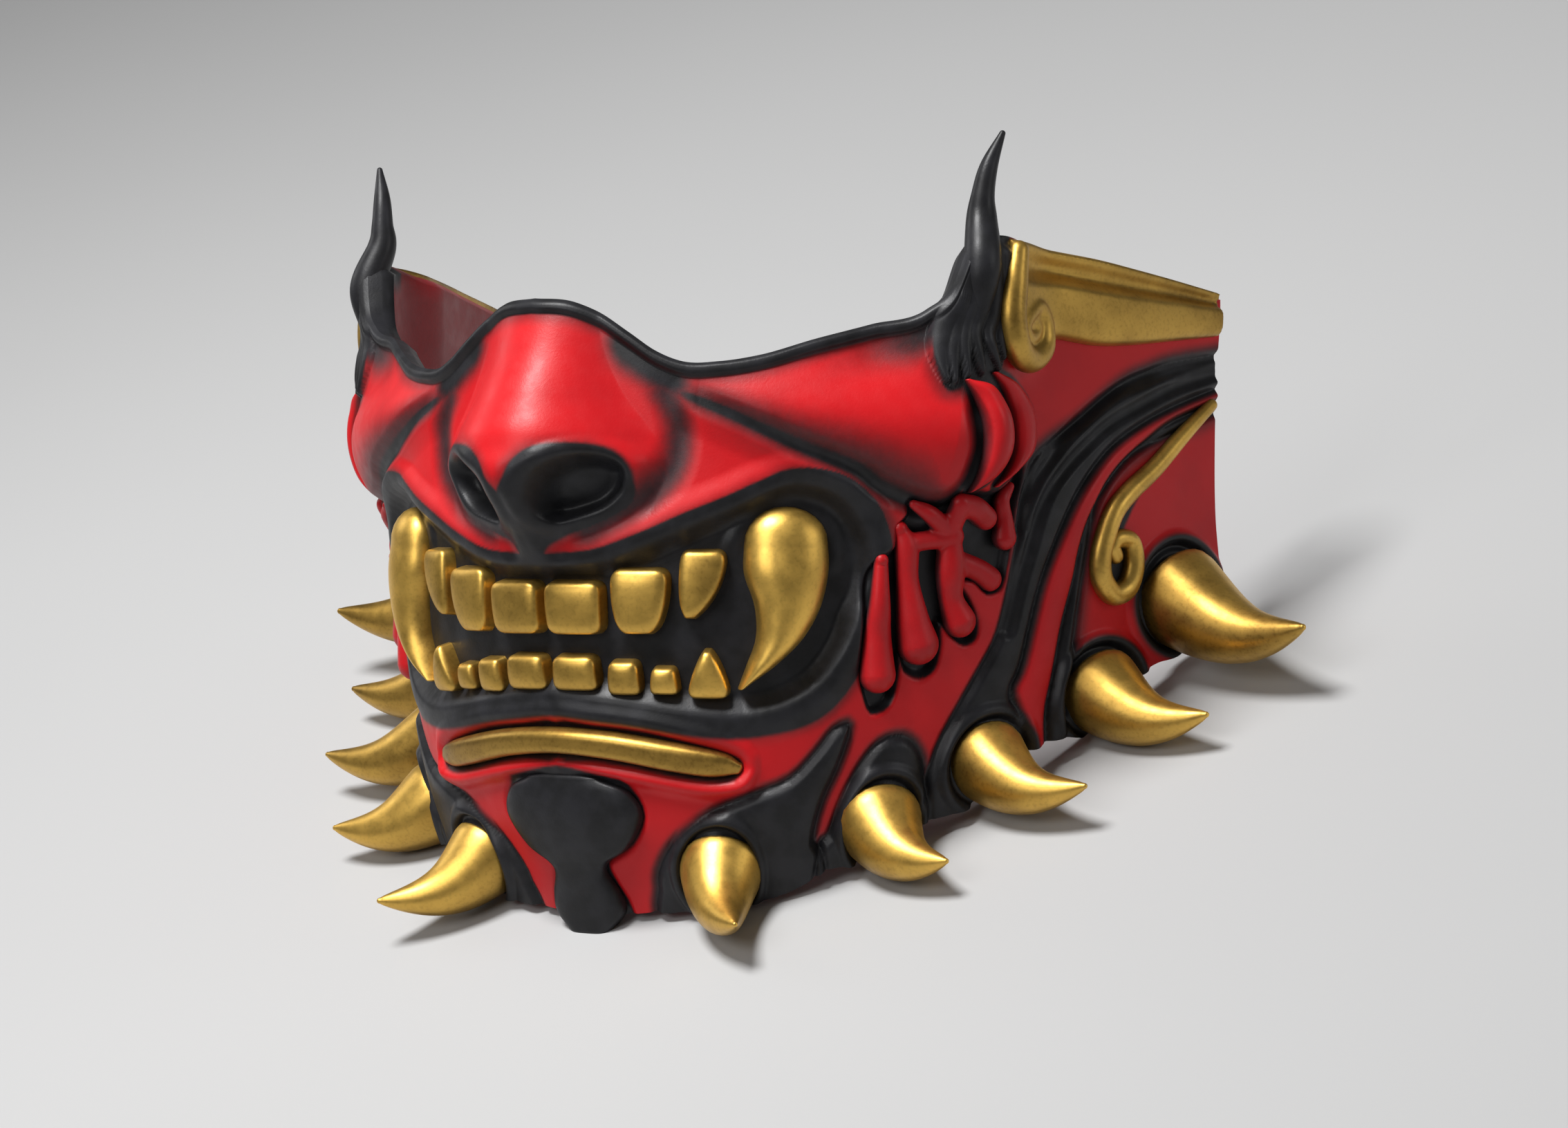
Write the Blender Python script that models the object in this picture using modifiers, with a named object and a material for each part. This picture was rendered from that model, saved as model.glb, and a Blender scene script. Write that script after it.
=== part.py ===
"""A demon half mask: a hollow face shell with horns, tusks, teeth, spikes along the jaw and gold bands.

The face is modelled upright, in metres, with x to its side, y towards the back and z up from the chin.
An empty then leans the whole mask back until it stands on its chin pad and its rearmost jaw spikes.
Places on the shell are given as two shares: along, from 0 at the middle to 1 at the rear edge, and
level, from 0 at the chin to 1 at the bridge of the nose.
"""

import math

import bmesh
import bpy
import numpy as np
from mathutils import Matrix

# Overall sizes
HALF_WIDTH = 0.104
DEPTH = 0.130
HEIGHT = 0.142
WALL = 0.0050

# Fits
GAP = 0.0003
SEAT = 0.0015
CUTTER_RISE = 0.002

# Large forms of the face
NOSE_REACH = 0.0165
CHEEK_REACH = 0.0098
TEMPLE_REACH = 0.007
GUM_DEPTH = 0.0034
GUM_SLOPE = 0.0040
NOSTRIL_DEPTH = 0.0045
NOSTRIL_SLOPE = 0.0035
WINDOW_DEPTH = 0.0018
WINDOW_SLOPE = 0.0015
EDGE_SOFTNESS = 0.0010
LIP_RISE = 0.0016
LIP_WIDTH = 0.0050
LIP_SETBACK = 0.0030
INNER_SHARE = 0.8
MOUTH_MARGIN = 0.012
EDGE_SETBACK = 0.0028

# Pieces on the face
LIP_BAR_RISE = 0.0036
CHIN_PAD_RISE = 0.0040
TUSK_RISE = 0.0074
BAND_RISE = 0.0034
CRESCENT_RISE = 0.0052
TENDRIL_RADIUS = 0.0027
DRIP_RADIUS = 0.0038
SINEW_RADIUS = 0.0043
SPIKE_RADIUS = 0.0118
SPIKE_REACH = 0.040
HORN_RADIUS = 0.0044
TOOTH_BREADTH = 0.0068
TOOTH_THICK = 0.0046

# Resolution of the shell: cells across and up, inside and, twice as many, outside
CELLS_ACROSS = 22
CELLS_UP = 10

# The range searched for the lean at rest, and how much of the pad's lowest edge is cut flat
LEAN_RANGE = (math.radians(15), math.radians(50))
FLAT_HEIGHT = 0.0008

# Plan sections from the chin up.
# Columns: level, front y, then x and y of four stations out to the rear edge,
# each x as a share of HALF_WIDTH and each y as a share of DEPTH
SECTIONS = np.array([
    (0.000, 0.169, 0.327, 0.246, 0.538, 0.385, 0.750, 0.646, 0.923, 1.038),
    (0.183, 0.085, 0.377, 0.169, 0.605, 0.338, 0.808, 0.631, 0.960, 1.023),
    (0.317, 0.050, 0.403, 0.138, 0.642, 0.331, 0.837, 0.631, 0.985, 1.006),
    (0.415, 0.023, 0.413, 0.115, 0.662, 0.331, 0.856, 0.631, 1.005, 0.988),
    (0.542, 0.000, 0.418, 0.100, 0.696, 0.331, 0.875, 0.631, 1.012, 0.970),
    (0.662, -0.008, 0.423, 0.096, 0.721, 0.331, 0.894, 0.631, 1.005, 0.958),
    (0.775, 0.000, 0.413, 0.092, 0.731, 0.331, 0.894, 0.631, 1.005, 0.955),
    (0.894, 0.000, 0.404, 0.092, 0.731, 0.338, 0.885, 0.631, 1.000, 0.970),
    (1.000, 0.008, 0.404, 0.100, 0.731, 0.338, 0.885, 0.631, 1.000, 0.984),
    (1.127, 0.031, 0.404, 0.108, 0.731, 0.338, 0.885, 0.631, 0.990, 0.988),
])

# Outline of the shell. Columns: along, level
TOP_EDGE = np.array([
    (0.000, 1.000), (0.056, 0.993), (0.089, 0.975), (0.128, 0.944), (0.163, 0.915), (0.196, 0.899),
    (0.242, 0.899), (0.292, 0.909), (0.355, 0.934), (0.419, 0.957), (0.480, 0.980), (0.511, 1.019),
    (0.530, 1.080), (0.560, 1.094), (0.656, 1.080), (0.745, 1.068), (0.886, 1.042), (1.000, 1.017),
])
BOTTOM_EDGE = np.array([
    (0.000, 0.020), (0.070, 0.027), (0.140, 0.037), (0.200, 0.046), (0.277, 0.058), (0.318, 0.068), (0.362, 0.085),
    (0.402, 0.106), (0.463, 0.119), (0.555, 0.175), (0.628, 0.204), (0.699, 0.285), (0.757, 0.305),
    (0.794, 0.306), (0.869, 0.406), (0.930, 0.438), (1.000, 0.500),
])

# The nose. Columns: level, reach as a share of NOSE_REACH, half breadth as a share of HALF_WIDTH
NOSE = np.array([
    (0.563, 0.000, 0.100), (0.606, 0.030, 0.190), (0.648, 0.240, 0.240), (0.697, 0.640, 0.270),
    (0.746, 0.970, 0.290), (0.782, 0.970, 0.270), (0.845, 0.700, 0.210), (0.915, 0.390, 0.165),
    (1.000, 0.150, 0.145), (1.056, 0.000, 0.135),
])

# The cheek bulb. Columns: along, level, radius as a share of HEIGHT, reach as a share of CHEEK_REACH
CHEEK = np.array([(0.213, 0.831, 0.053, 0.1), (0.511, 0.789, 0.180, 1.0)])

# The temple's swelling. Columns: along at its middle, half breadth, level where it starts, level where it is full
TEMPLE = (0.55, 0.146, 0.83, 0.94)

# Outlines drawn on the shell. Columns: along, level
MOUTH = np.array([
    (0.000, 0.580), (0.079, 0.587), (0.138, 0.613), (0.196, 0.646), (0.248, 0.672), (0.292, 0.696),
    (0.325, 0.708), (0.369, 0.695), (0.403, 0.663), (0.423, 0.618), (0.430, 0.571), (0.426, 0.532),
    (0.415, 0.501), (0.402, 0.451), (0.369, 0.400), (0.316, 0.366), (0.255, 0.352), (0.182, 0.357),
    (0.099, 0.372), (0.000, 0.385),
])
WINDOW = np.array([
    (0.470, 0.683), (0.458, 0.611), (0.424, 0.566), (0.424, 0.508), (0.440, 0.387), (0.484, 0.364),
    (0.501, 0.417), (0.545, 0.420), (0.599, 0.466), (0.626, 0.544), (0.633, 0.599), (0.643, 0.742),
    (0.591, 0.698), (0.514, 0.682),
])
NOSTRIL = np.array([
    (0.036, 0.668), (0.050, 0.725), (0.085, 0.757), (0.120, 0.735), (0.128, 0.695), (0.100, 0.665),
    (0.060, 0.650),
])

# Strips laid on the shell. Columns: along and level of one edge, along and level of the other,
# rise as a share of the piece's own rise
LIP_BAR = np.array([
    (-0.249, 0.276, -0.243, 0.258, 0.33), (-0.225, 0.292, -0.206, 0.254, 0.72),
    (-0.160, 0.308, -0.156, 0.262, 0.94), (-0.080, 0.323, -0.080, 0.279, 1.00),
    (0.000, 0.328, 0.000, 0.287, 1.00), (0.080, 0.323, 0.080, 0.279, 1.00),
    (0.160, 0.308, 0.156, 0.262, 0.94), (0.225, 0.292, 0.206, 0.254, 0.72),
    (0.249, 0.276, 0.243, 0.258, 0.33),
])
CHIN_PAD = np.array([
    (-0.060, 0.247, 0.060, 0.247, 0.40), (-0.097, 0.228, 0.097, 0.228, 0.55),
    (-0.113, 0.188, 0.113, 0.188, 0.65), (-0.088, 0.139, 0.088, 0.139, 0.65),
    (-0.054, 0.114, 0.054, 0.114, 0.60), (-0.046, 0.096, 0.046, 0.096, 0.60),
    (-0.060, 0.064, 0.060, 0.064, 0.70), (-0.064, 0.034, 0.064, 0.034, 0.85),
    (-0.040, 0.006, 0.040, 0.006, 1.00),
])
TUSK = np.array([
    (0.298, 0.656, 0.346, 0.658, 0.30), (0.261, 0.614, 0.374, 0.616, 0.86),
    (0.262, 0.570, 0.378, 0.572, 1.00), (0.277, 0.518, 0.370, 0.518, 1.00),
    (0.278, 0.468, 0.348, 0.470, 0.92), (0.263, 0.425, 0.311, 0.430, 0.78),
    (0.250, 0.392, 0.264, 0.394, 0.54),
])
GOLD_BAND = np.array([
    (0.602, 0.925, 0.594, 1.094, 0.65), (0.648, 0.926, 0.640, 1.090, 0.80),
    (0.695, 0.940, 0.690, 1.082, 1.00), (0.772, 0.932, 0.772, 1.072, 0.94),
    (0.838, 0.935, 0.838, 1.060, 0.88), (0.909, 0.944, 0.909, 1.046, 0.76),
    (0.992, 0.955, 0.992, 1.028, 0.65),
])
CRESCENTS = {
    "front": np.array([
        (0.520, 0.866, 0.527, 0.870, 0.27), (0.535, 0.838, 0.562, 0.860, 0.77),
        (0.546, 0.800, 0.588, 0.822, 1.00), (0.549, 0.765, 0.597, 0.770, 1.00),
        (0.547, 0.725, 0.582, 0.732, 0.77), (0.542, 0.700, 0.550, 0.704, 0.27),
    ]),
    "rear": np.array([
        (0.562, 0.879, 0.572, 0.883, 0.27), (0.590, 0.852, 0.620, 0.866, 0.65),
        (0.608, 0.812, 0.652, 0.830, 0.81), (0.612, 0.766, 0.655, 0.770, 0.81),
        (0.598, 0.728, 0.628, 0.738, 0.65), (0.584, 0.709, 0.594, 0.708, 0.27),
    ]),
}

# Round pieces that lie on the shell. Columns: along, level, radius as a share of the piece's own radius,
# which for the volute is the tendril's and for the rear drip the front drip's
TENDRIL = np.array([
    (0.988, 0.842, 0.55), (0.925, 0.785, 0.74), (0.874, 0.737, 0.84), (0.824, 0.697, 0.90),
    (0.795, 0.662, 0.93), (0.780, 0.610, 0.96), (0.783, 0.565, 1.00), (0.804, 0.536, 1.00),
    (0.828, 0.545, 1.00), (0.838, 0.582, 0.96), (0.831, 0.618, 0.86), (0.809, 0.624, 0.80),
])
VOLUTE = np.array([
    (0.602, 1.074, 0.74), (0.592, 1.020, 0.96), (0.588, 0.965, 1.00), (0.600, 0.922, 1.00),
    (0.632, 0.906, 1.00), (0.660, 0.926, 0.96), (0.664, 0.962, 0.81), (0.648, 0.988, 0.70),
    (0.625, 0.976, 0.63),
])
DRIP = np.array([
    (0.441, 0.592, 0.37), (0.446, 0.524, 0.58), (0.454, 0.455, 0.84), (0.460, 0.412, 1.00),
])
SINEW_BRANCHES = [
    np.array([
        (0.464, 0.640, 0.37), (0.476, 0.611, 0.58), (0.484, 0.559, 0.56), (0.499, 0.500, 0.79),
        (0.513, 0.460, 1.00),
    ]),
    np.array([(0.476, 0.617, 0.47), (0.508, 0.622, 0.47), (0.539, 0.628, 0.60)]),
    np.array([(0.474, 0.679, 0.23), (0.498, 0.664, 0.42), (0.536, 0.632, 0.51)]),
    np.array([
        (0.539, 0.680, 0.51), (0.536, 0.640, 0.51), (0.541, 0.600, 0.65), (0.546, 0.566, 0.70),
        (0.553, 0.530, 0.60), (0.570, 0.495, 0.81),
    ]),
    np.array([(0.537, 0.682, 0.47), (0.563, 0.672, 0.60), (0.586, 0.657, 0.60)]),
    np.array([(0.546, 0.592, 0.51), (0.587, 0.574, 0.56), (0.608, 0.560, 0.60)]),
]
REAR_DRIP = np.array([
    (0.626, 0.706, 0.26), (0.612, 0.684, 0.47), (0.618, 0.655, 0.53), (0.622, 0.625, 0.68),
])
LIE_SHARE = 0.35

# Jaw spikes. Columns: along, level, base radius as a share of SPIKE_RADIUS,
# reach out, reach along and fall of the tip as shares of SPIKE_REACH
SPIKES = np.array([
    (0.217, 0.104, 0.81, 0.65, 0.17, -0.03),
    (0.493, 0.178, 0.84, 0.64, 0.15, 0.00),
    (0.644, 0.272, 0.81, 0.74, 0.16, 0.00),
    (0.804, 0.378, 0.86, 0.77, 0.10, 0.00),
    (0.925, 0.528, 1.00, 1.00, -0.03, 0.10),
])
SPIKE_RINGS = 6
SPIKE_DROP = 0.12

# Horn. Columns: along, level, lift off the shell and radius as shares of HORN_RADIUS, up to where it leaves the shell
HORN_FOOT = np.array([(0.545, 0.985, -0.18, 0.68), (0.547, 1.050, 0.09, 0.95)])
# Free part of the horn. Columns: x as a share of HALF_WIDTH, y of DEPTH, z of HEIGHT, radius of HORN_RADIUS
HORN_TIP = np.array([
    (0.813, 0.385, 1.120, 0.80), (0.814, 0.388, 1.160, 0.60), (0.823, 0.396, 1.205, 0.46),
    (0.845, 0.411, 1.256, 0.16),
])

# Teeth. Columns: along, level, half breadth at the root and at the end and shift of the end as shares of
# TOOTH_BREADTH, length as a share of HEIGHT, thickness as a share of TOOTH_THICK
UPPER_TEETH = np.array([
    (0.045, 0.515, 1.04, 0.98, 0.00, 0.084, 1.00),
    (0.131, 0.526, 0.98, 0.60, -0.10, 0.102, 0.96),
    (0.210, 0.553, 0.76, 0.22, -0.44, 0.106, 0.91),
])
LOWER_TEETH = np.array([
    (0.038, 0.412, 0.84, 0.76, 0.00, -0.056, 0.96),
    (0.103, 0.405, 0.58, 0.50, 0.00, -0.054, 0.91),
    (0.153, 0.401, 0.49, 0.38, 0.00, -0.043, 0.87),
    (0.210, 0.412, 0.69, 0.15, 0.00, -0.076, 0.96),
])

SIDES = {"left": 1, "right": -1}


def smooth_rows(x, rows):
    """Each further column of the rows at x, along a curve through them without overshooting corners."""
    keys = rows[:, 0]
    x = np.clip(x, keys[0], keys[-1])
    slopes = np.gradient(rows[:, 1:], keys, axis=0)
    i = np.clip(np.searchsorted(keys, x) - 1, 0, len(keys) - 2)
    span = keys[i + 1] - keys[i]
    t = ((x - keys[i]) / span)[..., None]
    span = span[..., None]
    a, b = rows[i, 1:], rows[i + 1, 1:]
    ends = a * (2 * t**3 - 3 * t**2 + 1) + b * (3 * t**2 - 2 * t**3)
    return ends + span * (slopes[i] * (t**3 - 2 * t**2 + t) + slopes[i + 1] * (t**3 - t**2))


def sized(rows, size, columns=1):
    """The rows with their last columns, which are shares, times the size that they follow."""
    rows = rows.copy()
    rows[:, -columns:] *= size
    return rows


def ease(low, high, x):
    """0 below low, 1 above high and smooth between."""
    t = np.clip((x - low) / (high - low), 0, 1)
    return t * t * (3 - 2 * t)


def mound(distance):
    """1 at 0, smoothly down to 0 at 1 and beyond."""
    return (1 - np.clip(np.abs(distance), 0, 1) ** 2) ** 2


def base(along, level):
    """Points of the plain shell, as if it had no features."""
    along, level = np.broadcast_arrays(np.asarray(along, float), np.asarray(level, float))
    row = smooth_rows(level, SECTIONS)
    flat = np.zeros(along.shape)
    stations = [np.stack([flat, row[..., 0] * DEPTH], -1)]
    for k in range(4):
        stations.append(np.stack([row[..., 1 + 2 * k] * HALF_WIDTH, row[..., 2 + 2 * k] * DEPTH], -1))
    stations.insert(0, stations[1] * [-1, 1])
    stations.append(2 * stations[-1] - stations[-2])
    stations = np.stack(stations, -2)
    t = np.abs(along) * 4
    i = np.clip(np.floor(t).astype(int), 0, 3)
    t = (t - i)[..., None]
    p0, p1, p2, p3 = (
        np.take_along_axis(stations, (i + k)[..., None, None], axis=-2)[..., 0, :] for k in range(4)
    )
    plan = p1 + 0.5 * (
        (p2 - p0) * t + (2 * p0 - 5 * p1 + 4 * p2 - p3) * t**2 + (3 * p1 - p0 - 3 * p2 + p3) * t**3
    )
    x = plan[..., 0] * np.where(along < 0, -1, 1)
    return np.stack([x, plan[..., 1], level * HEIGHT], -1)


def girth():
    """Length round the plain shell from the middle to the rear edge, half way up."""
    points = base(np.linspace(0, 1, 33), np.full(33, 0.75))
    return np.linalg.norm(np.diff(points, axis=0), axis=1).sum()


GIRTH = girth()


def on_sheet(places):
    """Places in metres on the shell as if it were unrolled."""
    return np.asarray(places, float) * [GIRTH, HEIGHT]


def sheet_points(along, level):
    return on_sheet(np.stack(np.broadcast_arrays(np.abs(along), level), -1))


def edge_distance(points, outline):
    """Distance from each point to a closed outline, positive inside it."""
    starts = on_sheet(outline)
    ends = np.roll(starts, -1, axis=0)
    nearest = np.full(points.shape[:-1], np.inf)
    inside = np.zeros(points.shape[:-1], bool)
    x, y = points[..., 0], points[..., 1]
    for (ax, ay), (bx, by) in zip(starts, ends):
        run = (bx - ax) ** 2 + (by - ay) ** 2
        t = np.clip(((x - ax) * (bx - ax) + (y - ay) * (by - ay)) / run, 0, 1)
        nearest = np.minimum(nearest, np.hypot(x - ax - t * (bx - ax), y - ay - t * (by - ay)))
        if ay != by:
            crosses = ((ay > y) != (by > y)) & (x < (bx - ax) * (y - ay) / (by - ay) + ax)
            inside ^= crosses
    return np.where(inside, nearest, -nearest)


def mouth_distance(points):
    """Distance from each point to the mouth's edge, positive inside. The mouth crosses the middle."""
    mirrored = MOUTH[::-1][1:-1] * [-1, 1]
    return edge_distance(points, np.concatenate([MOUTH, mirrored]))


def normals(shape, along, level):
    """Outward unit normals of a surface."""
    step = 1e-3
    across = shape(along + step, level) - shape(along - step, level)
    upward = shape(along, level + step) - shape(along, level - step)
    out = np.cross(across, upward)
    return out / np.linalg.norm(out, axis=-1, keepdims=True)


def nose(along, level):
    reach, breadth = np.moveaxis(smooth_rows(level, NOSE), -1, 0)
    across = np.clip(np.abs(along) * GIRTH / (breadth * HALF_WIDTH), 0, 1)
    return NOSE_REACH * reach * (1 - across**2.4) ** 1.5


def cheek(along, level):
    (start_along, start_level, thin, low), (end_along, end_level, thick, high) = CHEEK
    start = on_sheet((start_along, start_level))
    run = on_sheet((end_along, end_level)) - start
    point = sheet_points(along, level) - start
    t = np.clip((point @ run) / (run @ run), 0, 1)
    away = np.linalg.norm(point - t[..., None] * run, axis=-1)
    radius = HEIGHT * (thin + t * (thick - thin))
    return CHEEK_REACH * (low + t * (high - low)) * mound(away / radius)


def temple(along, level):
    middle, breadth, start, full = TEMPLE
    return TEMPLE_REACH * ease(start, full, level) * mound((np.abs(along) - middle) / breadth)


def relief(along, level):
    """Height of the cast relief over the large forms."""
    points = sheet_points(along, level)
    mouth = mouth_distance(points)
    gum = GUM_DEPTH * ease(-EDGE_SOFTNESS, GUM_SLOPE, mouth)
    lip = LIP_RISE * mound((mouth + LIP_SETBACK) / LIP_WIDTH)
    nostril = NOSTRIL_DEPTH * ease(-EDGE_SOFTNESS, NOSTRIL_SLOPE, edge_distance(points, NOSTRIL))
    window = WINDOW_DEPTH * ease(-EDGE_SOFTNESS, WINDOW_SLOPE, edge_distance(points, WINDOW))
    return lip - gum - nostril - window


def outside(along, level):
    """Points of the outer surface, with all its relief."""
    point = base(along, level)
    lift = cheek(along, level) + temple(along, level) + relief(along, level)
    point = point + normals(base, along, level) * lift[..., None]
    return point - nose(along, level)[..., None] * [0, 1, 0]


def inside(along, level):
    """Points of the inner surface, which follows the large forms and the mouth more gently."""
    point = base(along, level)
    gum = GUM_DEPTH * ease(-MOUTH_MARGIN, 0, mouth_distance(sheet_points(along, level)))
    lift = INNER_SHARE * (cheek(along, level) + temple(along, level)) - gum - WALL
    point = point + normals(base, along, level) * lift[..., None]
    return point - INNER_SHARE * nose(along, level)[..., None] * [0, 1, 0]


def material(name, colour, metallic, roughness):
    made = bpy.data.materials.new(name)
    made.use_nodes = True
    shader = made.node_tree.nodes["Principled BSDF"]
    shader.inputs["Base Color"].default_value = (*colour, 1)
    shader.inputs["Metallic"].default_value = metallic
    shader.inputs["Roughness"].default_value = roughness
    return made


def mesh_object(name, points, faces, collection):
    data = bpy.data.meshes.new(name)
    data.from_pydata([tuple(p) for p in points], [], faces)
    made = bpy.data.objects.new(name, data)
    collection.objects.link(made)
    face_outward(made)
    return made


def face_outward(made):
    """Welds coinciding points and turns every face outward."""
    work = bmesh.new()
    work.from_mesh(made.data)
    bmesh.ops.remove_doubles(work, verts=work.verts, dist=1e-6)
    bmesh.ops.recalc_face_normals(work, faces=work.faces)
    work.to_mesh(made.data)
    work.free()


def shell_mesh(name, collection):
    """The face shell: a fine outer sheet, a coarser inner one and the edges that join them."""
    fine_across, fine_up = 2 * CELLS_ACROSS, 2 * CELLS_UP
    points, faces = [], []

    def sheet(shape, across, up, order, setback=0.0):
        start = len(points)
        along = np.linspace(-1, 1, across + 1)[None, :] + np.zeros((up + 1, 1))
        share = np.linspace(0, 1, up + 1)[:, None]
        low = smooth_rows(np.abs(along), BOTTOM_EDGE)[..., 0] + setback
        high = smooth_rows(np.abs(along), TOP_EDGE)[..., 0] - setback
        points.extend(shape(along, low + (high - low) * share).reshape(-1, 3))
        index = start + np.arange((across + 1) * (up + 1)).reshape(up + 1, across + 1)
        for j in range(up):
            for i in range(across):
                quad = [index[j, i], index[j, i + 1], index[j + 1, i + 1], index[j + 1, i]]
                faces.append(quad[::order])
        return index

    outer = sheet(outside, fine_across, fine_up, 1)
    inner = sheet(inside, CELLS_ACROSS, CELLS_UP, -1, EDGE_SETBACK / HEIGHT)

    def join(fine, coarse):
        for k in range(len(coarse) - 1):
            faces.append([fine[2 * k], fine[2 * k + 1], fine[2 * k + 2], coarse[k + 1], coarse[k]])

    join(outer[0][::-1], inner[0][::-1])
    join(outer[-1], inner[-1])
    join(outer[:, 0], inner[:, 0])
    join(outer[::-1, -1], inner[::-1, -1])
    return mesh_object(name, points, faces, collection)


def strip_mesh(name, rows, side, collection, grow=0.0):
    """A closed strip laid on the shell: a rounded front, and a back sunk to the seat."""
    shares = np.array([0.0, 0.12, 0.35, 0.65, 0.88, 1.0])
    profile = np.sqrt(1 - np.abs(2 * shares - 1) ** 3)
    starts, ends = on_sheet(rows[:, 0:2]), on_sheet(rows[:, 2:4])
    across = ends - starts
    across /= np.linalg.norm(across, axis=1, keepdims=True)
    middle = (starts + ends) / 2
    for end, neighbour in ((0, 1), (-1, -2)):
        away = middle[end] - middle[neighbour]
        push = away / np.linalg.norm(away) * grow
        starts[end] += push
        ends[end] += push
    rings = []
    for start, end, rise in zip(starts - across * grow, ends + across * grow, rows[:, 4]):
        places = (start + (end - start) * shares[:, None]) / [GIRTH, HEIGHT]
        along, level = side * places[:, 0], places[:, 1]
        ground = outside(along, level)
        out = normals(base, along, level)
        front = ground + out * (rise * profile + (CUTTER_RISE if grow else 0))[:, None]
        back = ground - out * (SEAT + grow)
        rings.append(np.concatenate([front, back[[5, 3, 2, 0]]]))
    return loft_mesh(name, rings, collection)


def loft_mesh(name, rings, collection):
    """Skins a run of closed rings and closes both ends."""
    count = len(rings[0])
    faces = []
    for k in range(len(rings) - 1):
        for i in range(count):
            j = (i + 1) % count
            faces.append([k * count + i, k * count + j, (k + 1) * count + j, (k + 1) * count + i])
    faces.append(list(range(count))[::-1])
    faces.append([(len(rings) - 1) * count + i for i in range(count)])
    return mesh_object(name, np.concatenate(rings), faces, collection)


def tube_mesh(name, path, radii, collection, grow=0.0):
    """A round bar along a path with a radius at each point, as a welded mesh with closed ends."""
    path = np.array(path, float)
    if grow:
        path[0] -= (path[1] - path[0]) / np.linalg.norm(path[1] - path[0]) * grow
        path[-1] += (path[-1] - path[-2]) / np.linalg.norm(path[-1] - path[-2]) * grow
    curve = bpy.data.curves.new(name + "_path", "CURVE")
    curve.dimensions = "3D"
    curve.bevel_depth = 1.0
    curve.bevel_resolution = 2
    curve.use_fill_caps = True
    line = curve.splines.new("POLY")
    line.points.add(len(path) - 1)
    for point, place, radius in zip(line.points, path, radii):
        point.co = (*place, 1)
        point.radius = radius + grow
    drawn = bpy.data.objects.new(name + "_path", curve)
    collection.objects.link(drawn)
    graph = bpy.context.evaluated_depsgraph_get()
    data = bpy.data.meshes.new_from_object(drawn.evaluated_get(graph))
    bpy.data.objects.remove(drawn)
    data.name = name
    made = bpy.data.objects.new(name, data)
    collection.objects.link(made)
    face_outward(made)
    return made


def lying_path(rows, side):
    """A path on the shell, lifted so that a round bar along it sinks by its seat."""
    along, level = side * rows[:, 0], rows[:, 1]
    lift = rows[:, 2] * LIE_SHARE
    return outside(along, level) + normals(base, along, level) * lift[:, None]


def site(along, level, side):
    """A point on the shell with the directions out of it, along it to the rear and up it."""
    at = np.array([side * along]), np.array([level])
    out = normals(base, *at)[0]
    rear = np.cross(np.array([0.0, 0.0, side]), out)
    rear /= np.linalg.norm(rear)
    return outside(*at)[0], out, rear, np.cross(out, rear) * side


def spike_path(row, side):
    """Points and radii of a jaw spike, which droops a little and then turns up to its tip."""
    along, level, radius, *reaches = row
    radius = radius * SPIKE_RADIUS
    reach, shift, fall = np.multiply(reaches, SPIKE_REACH)
    foot, out, rear, up = site(along, level, side)
    share = np.linspace(0, 1, SPIKE_RINGS)[:, None]
    sag = SPIKE_DROP * reach * np.sin(math.pi * share) + fall * share
    path = foot + out * reach * share + rear * shift * share**2 - up * sag
    radii = radius * (0.07 + 0.93 * (1 - share[:, 0] ** 1.1) ** 0.85)
    return np.concatenate([[foot - out * SEAT], path]), np.concatenate([[radius], radii])


def horn_path(side):
    along, level, lift, foot_radius = sized(HORN_FOOT, HORN_RADIUS, 2).T
    foot = outside(side * along, level) + normals(base, side * along, level) * lift[:, None]
    tip = HORN_TIP[:, :3] * [side * HALF_WIDTH, DEPTH, HEIGHT]
    return np.concatenate([foot, tip]), np.concatenate([foot_radius, HORN_RADIUS * HORN_TIP[:, 3]])


def tooth_mesh(name, row, side, collection, grow=0.0):
    """A tapered block standing on the gum, its root end towards the lip, with its edges rounded."""
    along, level, *breadths, length, thick = row
    root, end, shift = np.multiply(breadths, TOOTH_BREADTH)
    thick = thick * TOOTH_THICK
    middle, out, rear, up = site(along, level, side)
    half = length * HEIGHT / 2
    reach = math.copysign(abs(half) + grow, half)
    corners = []
    for front in (-1, 1):
        depth = -(SEAT + grow) if front < 0 else thick + (CUTTER_RISE if grow else 0)
        taper = 1.0 if grow or front < 0 else 0.8
        for height, breadth, move in ((reach, root, 0), (-reach, end, shift)):
            for way in (-1, 1):
                sideways = move + way * (breadth * taper + grow)
                corners.append(middle + out * depth + up * height * taper + rear * sideways)
    faces = [[0, 1, 3, 2], [4, 5, 7, 6], [0, 1, 5, 4], [2, 3, 7, 6], [0, 2, 6, 4], [1, 3, 7, 5]]
    made = mesh_object(name, corners, faces, collection)
    if not grow:
        bevel = made.modifiers.new("Rounded edges", "BEVEL")
        bevel.width = min(root, end, thick) * 0.4
        bevel.segments = 1
        bevel.limit_method = "NONE"
    return made


def boolean(made, operation, operand):
    """Adds an exact Boolean with one object or with a whole collection."""
    step = made.modifiers.new(operation.title(), "BOOLEAN")
    step.operation = operation
    step.solver = "EXACT"
    if isinstance(operand, bpy.types.Collection):
        step.operand_type = "COLLECTION"
        step.collection = operand
    else:
        step.object = operand


def new_collection(name, parent):
    made = bpy.data.collections.new(name)
    parent.children.link(made)
    return made


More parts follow.
